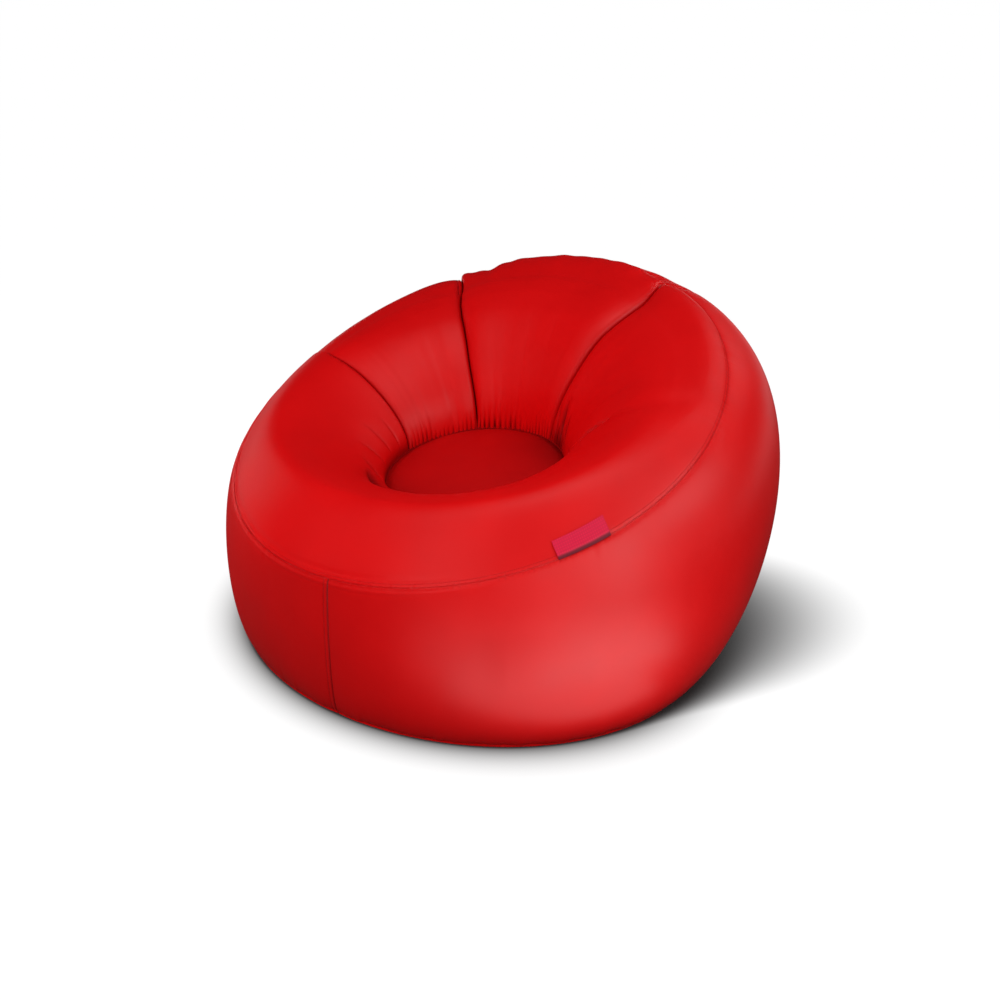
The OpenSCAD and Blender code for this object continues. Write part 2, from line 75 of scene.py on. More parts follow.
def smooth(low: float, high: float, x: np.ndarray) -> np.ndarray:
    """Rises smoothly from 0 at low to 1 at high."""
    s = np.clip((x - low) / (high - low), 0, 1)
    return s * s * (3 - 2 * s)


def unit(v: np.ndarray) -> np.ndarray:
    """Scales vectors in the last axis to length 1."""
    return v / np.maximum(np.linalg.norm(v, axis=-1, keepdims=True), 1e-12)


def span(v: np.ndarray) -> np.ndarray:
    """Measures vectors in the last axis."""
    return np.linalg.norm(v, axis=-1)


def bell(x: np.ndarray, width: float) -> np.ndarray:
    """Is 1 where x is 0 and falls off on both sides, to 1/e at the width."""
    return np.exp(-((x / width) ** 2))


def fade(x: np.ndarray, width: float) -> np.ndarray:
    """Is 1 where x is 0 and falls to 1/e over the width."""
    return np.exp(-x / width)


def turn_between(a: np.ndarray, bearing: float) -> np.ndarray:
    """Gives how far bearing a lies past another, from -180 to 180 degrees."""
    return (a - bearing + 180) % 360 - 180


def between(x: np.ndarray, rise: tuple[float, float], fall: tuple[float, float]) -> np.ndarray:
    """Gives 1 over a stretch and 0 beyond it, with a soft rise at its start and a soft fall at its end."""
    return smooth(*rise, x) * (1 - smooth(*fall, x))


def bezier(points: list[np.ndarray], t: np.ndarray) -> np.ndarray:
    """Follows a cubic curve through four control points.

    Args:
        points: Four arrays of points.
        t: How far along, from 0 to 1.

    Returns:
        One point for each value of t.
    """
    p0, p1, p2, p3 = points
    s = t[..., None]
    return (1 - s) ** 3 * p0 + 3 * s * (1 - s) ** 2 * p1 + 3 * s * s * (1 - s) * p2 + s**3 * p3


def noise_line(x: np.ndarray, cells: int, seed: int) -> np.ndarray:
    """Draws smooth noise along a closed line, so that it joins up where it comes round.

    Args:
        x: Place along the line, in cells.
        cells: Number of cells in one round.
        seed: Which of many such lines.

    Returns:
        Values from -1 to 1.
    """
    table = np.random.RandomState(seed).uniform(-1, 1, cells)
    low = np.floor(x).astype(int)
    s = x - low
    s = s * s * (3 - 2 * s)
    return mix(table[low % cells], table[(low + 1) % cells], s)


def noise_field(x: np.ndarray, y: np.ndarray, cells: int, seed: int) -> np.ndarray:
    """Draws smooth noise over a band that closes on itself along x.

    Args:
        x: Place round the band, in cells.
        y: Place across the band, in cells.
        cells: Number of cells in one round.
        seed: Which of many such fields.

    Returns:
        Values from -1 to 1.
    """
    low = np.floor(y).astype(int)
    s = y - low
    s = s * s * (3 - 2 * s)
    rows = np.random.RandomState(seed).uniform(-1, 1, (64, cells))
    column = np.floor(x).astype(int)
    r = x - column
    r = r * r * (3 - 2 * r)

    def at(row: np.ndarray) -> np.ndarray:
        """Reads one row of the table, smoothed along x."""
        return mix(rows[row % 64, column % cells], rows[row % 64, (column + 1) % cells], r)

    return mix(at(low), at(low + 1), s)


def linear(hex_colour: str) -> tuple[float, float, float, float]:
    """Turns an sRGB hex colour into the linear values that a shader takes."""
    parts = [int(hex_colour[i : i + 2], 16) / 255 for i in (1, 3, 5)]
    r, g, b = (c / 12.92 if c <= 0.04045 else ((c + 0.055) / 1.055) ** 2.4 for c in parts)
    return (r, g, b, 1.0)


def deselect() -> None:
    """Leaves nothing selected, so that an operator acts on the new piece alone."""
    if bpy.context.mode != "OBJECT":
        bpy.ops.object.mode_set(mode="OBJECT")
    bpy.ops.object.select_all(action="DESELECT")


def activate(piece: bpy.types.Object) -> None:
    """Selects one piece and makes it the active one."""
    deselect()
    piece.select_set(True)
    bpy.context.view_layer.objects.active = piece


def apply_modifiers(piece: bpy.types.Object) -> None:
    """Applies every modifier of a piece in order."""
    activate(piece)
    for modifier in list(piece.modifiers):
        bpy.ops.object.modifier_apply(modifier=modifier.name)


# ---------------------------------------------------------------- the shell's form
@dataclass(frozen=True)
class ShellForm:
    """The ovals that the ring hangs on, and the surfaces between them."""

    base_half: tuple[float, float] = (0.520, 0.440)
    rim_half: tuple[float, float] = (0.509, 0.498)
    rim_y: float = 0.030
    rim_z: float = 0.481
    rim_rise: float = 0.38
    rim_lean: float = 0.04
    rim_saddle: float = 0.022
    crown_half: tuple[float, float] = (0.400, 0.360)
    crown_y: float = 0.004
    crown_lift: float = 0.055
    crown_sink: float = 0.08
    crown_saddle: float = 0.6
    seat_half: tuple[float, float] = (0.190, 0.189)
    seat_y: float = 0.030
    seat_z: float = 0.345
    seat_rise: float = 0.15
    seat_dome: float = 0.014
    foot_flare: tuple[float, float] = (42, 55)
    shoulder_flare: tuple[float, float] = (2, 80)
    foot_reach: tuple[float, float] = (0.15, 0.37)
    shoulder_reach: tuple[float, float] = (0.16, 0.42)
    wall_blend: float = 0.6
    rise: tuple[float, float] = (40, 54)
    rise_reach: float = 0.42
    crown_flat_out: float = 0.32
    crown_flat: tuple[float, float] = (0.30, 0.25)
    bucket_steepness: float = 0.46

    @staticmethod
    def back_share(a: np.ndarray) -> np.ndarray:
        """Is 0 at the front and 1 at the back."""
        return (1 + np.cos(np.radians(a))) / 2

    @staticmethod
    def oval(a: np.ndarray, half: tuple[float, float], y: float, z: np.ndarray) -> np.ndarray:
        """Places points on an oval at bearing a and height z."""
        return np.stack([half[0] * np.sin(np.radians(a)), half[1] * np.cos(np.radians(a)) + y, z + 0 * a], axis=-1)

    def saddle(self, a: np.ndarray) -> np.ndarray:
        """Lifts the front and the back of the rim a little over the sides."""
        return self.rim_saddle * (np.cos(np.radians(a)) ** 2 - 0.5)

    def base(self, a: np.ndarray) -> np.ndarray:
        """Gives the base edge."""
        return self.oval(a, self.base_half, 0.0, 0.0 * a)

    def rim(self, a: np.ndarray) -> np.ndarray:
        """Gives the rim seam, which rises to the back."""
        p = self.oval(a, self.rim_half, self.rim_y, 0.0 * a)
        p[..., 2] = self.rim_z + self.rim_lean * p[..., 0] + self.rim_rise * p[..., 1] + self.saddle(a)
        return p

    def crown(self, a: np.ndarray) -> np.ndarray:
        """Gives the highest line of the ring."""
        p = self.oval(a, self.crown_half, self.crown_y, 0.0 * a)
        slope = self.rim_rise - self.crown_sink
        p[..., 2] = self.rim_z + self.crown_lift + self.rim_lean * p[..., 0] + slope * p[..., 1]
        p[..., 2] += self.crown_saddle * self.saddle(a)
        return p

    def seat(self, a: np.ndarray) -> np.ndarray:
        """Gives the seam round the seat."""
        p = self.oval(a, self.seat_half, self.seat_y, 0.0 * a)
        p[..., 2] = self.seat_z + self.rim_lean * p[..., 0] + self.seat_rise * (p[..., 1] - self.seat_y)
        return p

    def wall(self, a: np.ndarray, t: np.ndarray) -> np.ndarray:
        """Gives the side wall, from the base at t 0 to the rim at t 1."""
        share = self.back_share(a)
        blend = share**self.wall_blend
        foot, rim = self.base(a), self.rim(a)
        foot_lean = np.radians(mix(*self.foot_flare, blend))[..., None]
        shoulder_lean = np.radians(mix(*self.shoulder_flare, blend))[..., None]
        height = rim[..., 2]
        foot_pull = (height * mix(*self.foot_reach, share))[..., None]
        shoulder_pull = (height * mix(*self.shoulder_reach, share))[..., None]
        out = np.stack([np.sin(np.radians(a)), np.cos(np.radians(a)), 0 * a], axis=-1)
        up = np.array([0, 0, 1.0])
        return bezier(
            [
                foot,
                foot + foot_pull * (np.sin(foot_lean) * out + np.cos(foot_lean) * up),
                rim + shoulder_pull * (np.sin(shoulder_lean) * out - np.cos(shoulder_lean) * up),
                rim,
            ],
            t,
        )

    def top(self, a: np.ndarray, v: np.ndarray) -> np.ndarray:
        """Gives the ring from the rim (v 0) over the crown (v 1) to the seat seam (v 2)."""
        share = self.back_share(a)
        up = np.array([0, 0, 1.0])
        flat = np.array([1.0, 1.0, 0])
        rim, crown, seat = self.rim(a), self.crown(a), self.seat(a)
        run = (crown - rim) * flat
        inwards = unit(run)
        lean = np.radians(mix(*self.rise, share))[..., None]
        reach = np.linalg.norm(crown - rim, axis=-1, keepdims=True)
        outer = bezier(
            [
                rim,
                rim + self.rise_reach * reach * (np.sin(lean) * inwards + np.cos(lean) * up),
                crown - self.crown_flat_out * np.linalg.norm(run, axis=-1, keepdims=True) * inwards,
                crown,
            ],
            np.clip(v, 0, 1),
        )
        level = mix(*self.crown_flat, share)[..., None]
        inner = bezier(
            [
                crown,
                crown + level * (seat - crown) * flat,
                seat + self.bucket_steepness * (crown[..., 2:] - seat[..., 2:]) * up,
                seat,
            ],
            np.clip(v - 1, 0, 1),
        )
        return np.where((v <= 1)[..., None], outer, inner)

    def outward(self, surface: Surface, a: np.ndarray, t: np.ndarray) -> np.ndarray:
        """Finds the outward normals of a surface.

        Args:
            surface: Either wall or top.
            a: Bearings.
            t: Places across the surface.

        Returns:
            Unit vectors out of the chair.
        """
        along = surface(a + 0.3, t) - surface(a - 0.3, t)
        across = surface(a, t + 0.01) - surface(a, t - 0.01)
        return unit(np.cross(across, along))


def closed_run(line: np.ndarray) -> np.ndarray:
    """Adds up the length along a line of points, from 0 at its first point."""
    return np.concatenate([[0], np.cumsum(np.linalg.norm(np.diff(line, axis=0), axis=1))])


@dataclass
class Runs:
    """Lengths along the closed seam lines, for patterns that are set by real spacing."""

    form: ShellForm
    bearings: np.ndarray = field(default_factory=lambda: np.linspace(180, 540, 1441))

    def __post_init__(self) -> None:
        """Measures the base, rim and seat lines once."""
        self.lines = {
            "base": closed_run(self.form.base(self.bearings)),
            "rim": closed_run(self.form.rim(self.bearings)),
            "seat": closed_run(self.form.seat(self.bearings)),
        }

    def turns(self, line: str, a: np.ndarray, pitch: float) -> tuple[np.ndarray, int]:
        """Counts how many times a pattern has repeated at each bearing.

        Args:
            line: Which seam line.
            a: Bearings.
            pitch: Wished length of one repeat.

        Returns:
            The count at each bearing, and the whole number of repeats in one round.
        """
        run = self.lines[line]
        count = max(3, round(run[-1] / pitch))
        return np.interp(a, self.bearings, run) / run[-1] * count, count


# ---------------------------------------------------------------- cloth grids
@dataclass
class ClothGrid:
    """A sheet of cloth as rows of points, closest together at its seams and on the rows with fine puckers."""

    first: float
    last: float
    pitch: float
    rows: np.ndarray
    fine: np.ndarray
    crowd: float = 5.0
    reach: float = 2.0

    def __post_init__(self) -> None:
        """Works out how the columns are spread between the two seams."""
        self.track = np.linspace(self.first, self.last, 4001)
        density = 1 + self.crowd * (
            fade(self.track - self.first, self.reach) + fade(self.last - self.track, self.reach)
        )
        run = np.concatenate([[0], np.cumsum((density[1:] + density[:-1]) / 2 * np.diff(self.track))])
        self.columns = max(8, round(run[-1] / self.pitch))
        self.share = run / run[-1]

    def bearings(self, row: int) -> np.ndarray:
        """Gives the bearings of one row's points."""
        return np.interp(np.linspace(0, 1, self.columns * int(self.fine[row]) + 1), self.share, self.track)

    def points(self) -> tuple[np.ndarray, np.ndarray]:
        """Lists the bearing and the place across of every point, row by row."""
        lines = [self.bearings(k) for k in range(len(self.rows))]
        across = [np.full(len(line), self.rows[k]) for k, line in enumerate(lines)]
        return np.concatenate(lines), np.concatenate(across)

    def faces(self) -> list[list[int]]:
        """Joins the rows with faces, seen from outside."""
        counts = [self.columns * int(f) + 1 for f in self.fine]
        starts = np.concatenate([[0], np.cumsum(counts)]).astype(int)
        made = []
        for k in range(len(self.rows) - 1):
            low, high = int(self.fine[k]), int(self.fine[k + 1])
            step_low, step_high = max(1, low // high), max(1, high // low)
            for i in range(self.columns * min(low, high)):
                lower = [starts[k] + i * step_low + j for j in range(step_low + 1)]
                upper = [starts[k + 1] + i * step_high + j for j in range(step_high + 1)]
                made.append(upper + lower[::-1])
        return made


def graded_rows(edges: list[tuple[float, int, int]], last: float) -> tuple[np.ndarray, np.ndarray]:
    """Spreads rows over stretches of a sheet.

    Args:
        edges: For each stretch, where it starts, how many rows it has and its fineness.
        last: Where the last stretch ends.

    Returns:
        The places of the rows and the fineness of each.
    """
    rows, fine = [], []
    for index, (start, count, density) in enumerate(edges):
        end = edges[index + 1][0] if index + 1 < len(edges) else last
        rows.extend(np.linspace(start, end, count + 1)[:-1])
        fine.extend([density] * count)
    return np.array(rows + [last]), np.array(fine + [edges[-1][2]])


def disc_faces(columns: int, rings: int) -> list[list[int]]:
    """Joins the points of a disc, listed column by column from the middle outwards, with its middle last."""
    middle = columns * rings
    faces = []
    for i in range(columns):
        j = (i + 1) % columns
        faces.append([j * rings, i * rings, middle])
        faces.extend([i * rings + k + 1, i * rings + k, j * rings + k, j * rings + k + 1] for k in range(rings - 1))
    return faces


def thicken(piece: bpy.types.Object, thickness: float) -> None:
    """Gives a sheet its thickness, on its inner side, and keeps its cut edge crisp."""
    mesh = piece.data
    corners = np.empty(len(mesh.loops), dtype=np.int32)
    mesh.loops.foreach_get("edge_index", corners)
    free = np.flatnonzero(np.bincount(corners, minlength=len(mesh.edges)) == 1)
    ends = np.empty(len(mesh.edges) * 2, dtype=np.int32)
    mesh.edges.foreach_get("vertices", ends)
    edge_keys = np.sort(ends.reshape(-1, 2)[free], axis=1).astype(np.int64)
    wanted = edge_keys[:, 0] * EDGE_KEY + edge_keys[:, 1]
    modifier = piece.modifiers.new("cloth", "SOLIDIFY")
    modifier.thickness = thickness
    modifier.offset = -1
    apply_modifiers(piece)
    mesh = piece.data
    ends = np.empty(len(mesh.edges) * 2, dtype=np.int32)
    mesh.edges.foreach_get("vertices", ends)
    keys = np.sort(ends.reshape(-1, 2), axis=1).astype(np.int64)
    sharp = np.isin(keys[:, 0] * EDGE_KEY + keys[:, 1], wanted)
    mark = mesh.attributes.get("sharp_edge") or mesh.attributes.new("sharp_edge", "BOOLEAN", "EDGE")
    mark.data.foreach_set("value", sharp)


def make_mesh(name: str, points: np.ndarray, faces: list[list[int]], uv: np.ndarray) -> bpy.types.Object:
    """Makes a smooth mesh piece with a cloth map in metres.

    Args:
        name: Name of the piece.
        points: Its points.
        faces: Its faces.
        uv: For each point, its place on the cloth.

    Returns:
        The new piece.
    """
    mesh = bpy.data.meshes.new(name)
    mesh.from_pydata(points.tolist(), [], faces)
    corners = np.zeros(len(mesh.loops), np.int32)
    mesh.loops.foreach_get("vertex_index", corners)
    layer = mesh.uv_layers.new(name="cloth")
    layer.data.foreach_set("uv", uv[corners].astype(np.float32).ravel())
    mesh.polygons.foreach_set("use_smooth", np.ones(len(mesh.polygons), bool))
    mesh.update()
    piece = bpy.data.objects.new(name, mesh)
    bpy.context.scene.collection.objects.link(piece)
    return piece


def strip_faces(strips: int, columns: int) -> list[list[int]]:
    """Joins strips of points, listed strip by strip, with faces."""
    return [
        [i * columns + k, (i + 1) * columns + k, (i + 1) * columns + k + 1, i * columns + k + 1]
        for i in range(strips - 1)
        for k in range(columns - 1)
    ]


def mark_painted_shade(piece: bpy.types.Object, shares: np.ndarray) -> None:
    """Stores each point's share of painted shade, which darkens the finishes' colour."""
    mark = piece.data.attributes.new("painted_shade", "FLOAT", "POINT")
    mark.data.foreach_set("value", shares)


# ---------------------------------------------------------------- finishes
def node(tree: bpy.types.NodeTree, kind: str, settings: dict, links: dict) -> bpy.types.Node:
    """Adds a shader node with its settings and links.

    Args:
        tree: The material's node tree.
        kind: Blender's name of the node.
        settings: Attributes, or input values where the name is an input's.
        links: For each input, the output that feeds it.

    Returns:
        The node.
    """
    made = tree.nodes.new(kind)
    for key, value in settings.items():
        if isinstance(key, int) or key in made.inputs:
            made.inputs[key].default_value = value
        else:
            setattr(made, key, value)
    for key, output in links.items():
        tree.links.new(output, made.inputs[key])
    return made


def new_material(name: str) -> tuple[bpy.types.Material, bpy.types.NodeTree, bpy.types.Node]:
    """Makes an empty material with a Principled shader.

    Args:
        name: Name of the material.

    Returns:
        The material, its node tree and its shader.
    """
    material = bpy.data.materials.new(name)
    material.use_nodes = True
    tree = material.node_tree
    shader = tree.nodes["Principled BSDF"]
    return material, tree, shader


@dataclass(frozen=True)
class SatinNylon:
    """Coated nylon taffeta: fine filament yarns, calendered, so it has a broad silky gloss."""

    name: str
    colour: str
    shade: str
    roughness: float = 0.42
    specular: float = 0.5
    thread: float = 0.9 * MM
    # Colour and strength of the painted shade that the point attribute blends in
    painted_shade_colour: str = "#3a0002"
    painted_shade_strength: float = 0.85

    def make(self) -> bpy.types.Material:
        """Builds the material: yarns across and along, and a faint cloudiness of the coating."""
        material, tree, shader = new_material(self.name)
        cloth = node(tree, "ShaderNodeUVMap", {"uv_map": "cloth"}, {})
        where = node(tree, "ShaderNodeTexCoord", {}, {})
        cloud = node(
            tree,
            "ShaderNodeTexNoise",
            {"Scale": 9.0, "Detail": 3.0, "Roughness": 0.5},
            {"Vector": where.outputs["Object"]},
        )
        ramp = node(tree, "ShaderNodeMapRange", {"From Min": 0.3, "From Max": 0.7}, {"Value": cloud.outputs["Fac"]})
        tint = node(tree, "ShaderNodeMix", {"data_type": "RGBA"}, {0: ramp.outputs["Result"]})
        tint.inputs[6].default_value = linear(self.shade)
        tint.inputs[7].default_value = linear(self.colour)
        # Painted shade: the point attribute darkens the colour towards the dark red in seams, creases, pleats, stitch
        # pits and the pockets beside the seat
        painted_shade = node(tree, "ShaderNodeAttribute", {"attribute_name": "painted_shade"}, {})
        seams = node(
            tree, "ShaderNodeMath", {"operation": "MULTIPLY", 1: self.painted_shade_strength}, {0: painted_shade.outputs["Fac"]}
        )
        shaded = node(
            tree, "ShaderNodeMix", {"data_type": "RGBA"}, {0: seams.outputs[0], 6: tint.outputs[2]}
        )
        shaded.inputs[7].default_value = linear(self.painted_shade_colour)
        tree.links.new(shaded.outputs[2], shader.inputs["Base Color"])
        gloss = node(
            tree,
            "ShaderNodeMapRange",
            {"From Min": 0.3, "From Max": 0.7, "To Min": self.roughness - 0.02, "To Max": self.roughness + 0.02},
            {"Value": cloud.outputs["Fac"]},
        )
        tree.links.new(gloss.outputs["Result"], shader.inputs["Roughness"])
        # Yarns are about 0.25 mm apart; they are drawn four times as coarse so that a close view shows them
        waves = [
            node(
                tree,
                "ShaderNodeTexWave",
                {"wave_type": "BANDS", "bands_direction": axis, "Scale": 1 / self.thread / 20, "Distortion": 0.0},
                {"Vector": cloth.outputs["UV"]},
            )
            for axis in ("X", "Y")
        ]
        weave = node(
            tree,
            "ShaderNodeMath",
            {"operation": "MULTIPLY"},
            {0: waves[0].outputs["Fac"], 1: waves[1].outputs["Fac"]},
        )
        bump = node(
            tree, "ShaderNodeBump", {"Strength": 0.12, "Distance": 0.00006}, {"Height": weave.outputs["Value"]}
        )
        tree.links.new(bump.outputs["Normal"], shader.inputs["Normal"])
        shader.inputs["Specular IOR Level"].default_value = self.specular
        shader.inputs["IOR"].default_value = 1.53
        return material


@dataclass(frozen=True)
class MouldedPlastic:
    """Acetal or polyethylene as it leaves the mould: even colour and a fine spark-eroded grain."""

    name: str
    colour: str
    roughness: float = 0.45

    def make(self) -> bpy.types.Material:
        """Builds the material with a fine grain in its bump."""
        material, tree, shader = new_material(self.name)
        where = node(tree, "ShaderNodeTexCoord", {}, {})
        grain = node(
            tree, "ShaderNodeTexNoise", {"Scale": 2500.0, "Detail": 2.0}, {"Vector": where.outputs["Object"]}
        )
        bump = node(
            tree, "ShaderNodeBump", {"Strength": 0.25, "Distance": 0.00004}, {"Height": grain.outputs["Fac"]}
        )
        tree.links.new(bump.outputs["Normal"], shader.inputs["Normal"])
        shader.inputs["Base Color"].default_value = linear(self.colour)
        shader.inputs["Roughness"].default_value = self.roughness
        return material


@dataclass(frozen=True)
class WovenTape:
    """Woven tape: thick yarns that show as ribs along it and as picks across it."""

    name: str
    colour: str
    shade: str
    # Colour of the painted shade that the point attribute blends in, on the label's curled lower edge
    painted_edge_shade: str = "#1a1a1c"
    roughness: float = 0.55
    rib: float = 1.4 * MM
    pick: float = 0.9 * MM
    mapped: bool = True

    def make(self) -> bpy.types.Material:
        """Builds the material from ribs and picks on the piece's own map."""
        material, tree, shader = new_material(self.name)
        if self.mapped:
            place = node(tree, "ShaderNodeUVMap", {"uv_map": "cloth"}, {}).outputs["UV"]
        else:
            place = node(tree, "ShaderNodeTexCoord", {}, {}).outputs["Object"]
        ribs, picks = (
            node(
                tree,
                "ShaderNodeTexWave",
                {"wave_type": "BANDS", "bands_direction": axis, "Scale": 1 / pitch / 20},
                {"Vector": place},
            )
            for axis, pitch in (("Y" if self.mapped else "Z", self.rib), ("X", self.pick))
        )
        weave = node(
            tree, "ShaderNodeMath", {"operation": "MULTIPLY"}, {0: ribs.outputs["Fac"], 1: picks.outputs["Fac"]}
        )
        tint = node(tree, "ShaderNodeMix", {"data_type": "RGBA"}, {0: weave.outputs["Value"]})
        tint.inputs[6].default_value = linear(self.shade)
        tint.inputs[7].default_value = linear(self.colour)
        # Painted shade: the point attribute darkens the tape towards the edge colour where its lower edge curls in
        painted_shade = node(tree, "ShaderNodeAttribute", {"attribute_name": "painted_shade"}, {})
        edge = node(tree, "ShaderNodeMath", {"operation": "MULTIPLY", 1: 0.85}, {0: painted_shade.outputs["Fac"]})
        painted_edge_shade = node(tree, "ShaderNodeMix", {"data_type": "RGBA"}, {0: edge.outputs[0], 6: tint.outputs[2]})
        painted_edge_shade.inputs[7].default_value = linear(self.painted_edge_shade)
        tree.links.new(painted_edge_shade.outputs[2], shader.inputs["Base Color"])
        bump = node(
            tree, "ShaderNodeBump", {"Strength": 0.5, "Distance": 0.0002}, {"Height": weave.outputs["Value"]}
        )
        tree.links.new(bump.outputs["Normal"], shader.inputs["Normal"])
        shader.inputs["Roughness"].default_value = self.roughness
        return material


class Finish(Enum):
    """The finishes of the chair, one for each slot of the record."""

    SHELL = "shell_cloth"
    SEAT = "seat_cloth"
    BASE = "base_cloth"
    TETHER = "tether_cloth"
    FILM = "air_film"
    STIFFENER = "stiffener"
    LABEL = "label"
    WEBBING = "webbing"
    BUCKLE = "buckle"
    THREAD = "thread"
    WEBBING_SEWN = "webbing_sewn"


FINISHES = {
    Finish.SHELL: SatinNylon("satin_nylon_red", "#de0407", "#d70306"),
    # The seat is the shell's cloth given a darker red, as painted shade for its place down in the bucket
    Finish.SEAT: SatinNylon("satin_nylon_seat_painted_shade", "#ce0407", "#c60306", roughness=0.5),
    Finish.BASE: SatinNylon("coated_nylon_base", "#a3080c", "#96070a", roughness=0.6),
    Finish.TETHER: SatinNylon("nylon_tether", "#a3080c", "#96070a", roughness=0.6),
    Finish.FILM: MouldedPlastic("soft_air_film", "#d5dade", roughness=0.3),
    Finish.STIFFENER: MouldedPlastic("moulded_strip", "#26272a"),
    Finish.LABEL: WovenTape(
        "woven_label_tape", "#e0103f", "#cf0c39", painted_edge_shade="#3c0210", roughness=0.6, rib=0.9 * MM, pick=0.7 * MM
    ),
    Finish.WEBBING: WovenTape("polyester_webbing", "#232326", "#151517", rib=2.2 * MM, pick=1.5 * MM),
    Finish.WEBBING_SEWN: WovenTape("webbing_sewn", "#232326", "#151517", rib=2.2 * MM, pick=1.5 * MM, mapped=False),
    Finish.BUCKLE: MouldedPlastic("acetal_buckle", "#1d1e20", roughness=0.4),
    Finish.THREAD: MouldedPlastic("spun_polyester_thread", "#b3080c", roughness=0.6),
}


@dataclass
class Wardrobe:
    """Makes each finish once and gives it to pieces."""

    made: dict[Finish, bpy.types.Material] = field(default_factory=dict)

    def material(self, finish: Finish) -> bpy.types.Material:
        """Gives a finish's material, made when it is first asked for."""
        if finish not in self.made:
            self.made[finish] = FINISHES[finish].make()
        return self.made[finish]

    def finish_node(self, name: str, finish: Finish) -> None:
        """Gives a piece of the frame a finish."""
        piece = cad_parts[name]
        piece.data.materials.clear()
        piece.data.materials.append(self.material(finish))

    def dress(self, piece: bpy.types.Object, finish: Finish) -> None:
        """Puts a finish on a piece in place of what it had."""
        piece.data.materials.clear()
        piece.data.materials.append(self.material(finish))


# ---------------------------------------------------------------- relief of the stretched cloth
class Side(Enum):
    """Which side of the rim seam a sheet lies on."""

    WALL = "wall"
    TOP = "top"


@dataclass(frozen=True)
class BucketSeam:
    """One seam that runs down the bucket, with how deep it pulls the cloth in."""

    bearing: float
    crease: float
    tuck: float
    shows_from: tuple[float, float]
    drift: float = 0.0
    foot_drift: float = 0.0
    notch: float = 0.0
    notch_spread: tuple[float, float] = (3.0, 3.0)


@dataclass(frozen=True)
class Fold:
    """A short sharp fold, drawn from one place on the ring top to another."""

    start: tuple[float, float]
    end: tuple[float, float]
    depth: float
    width: float


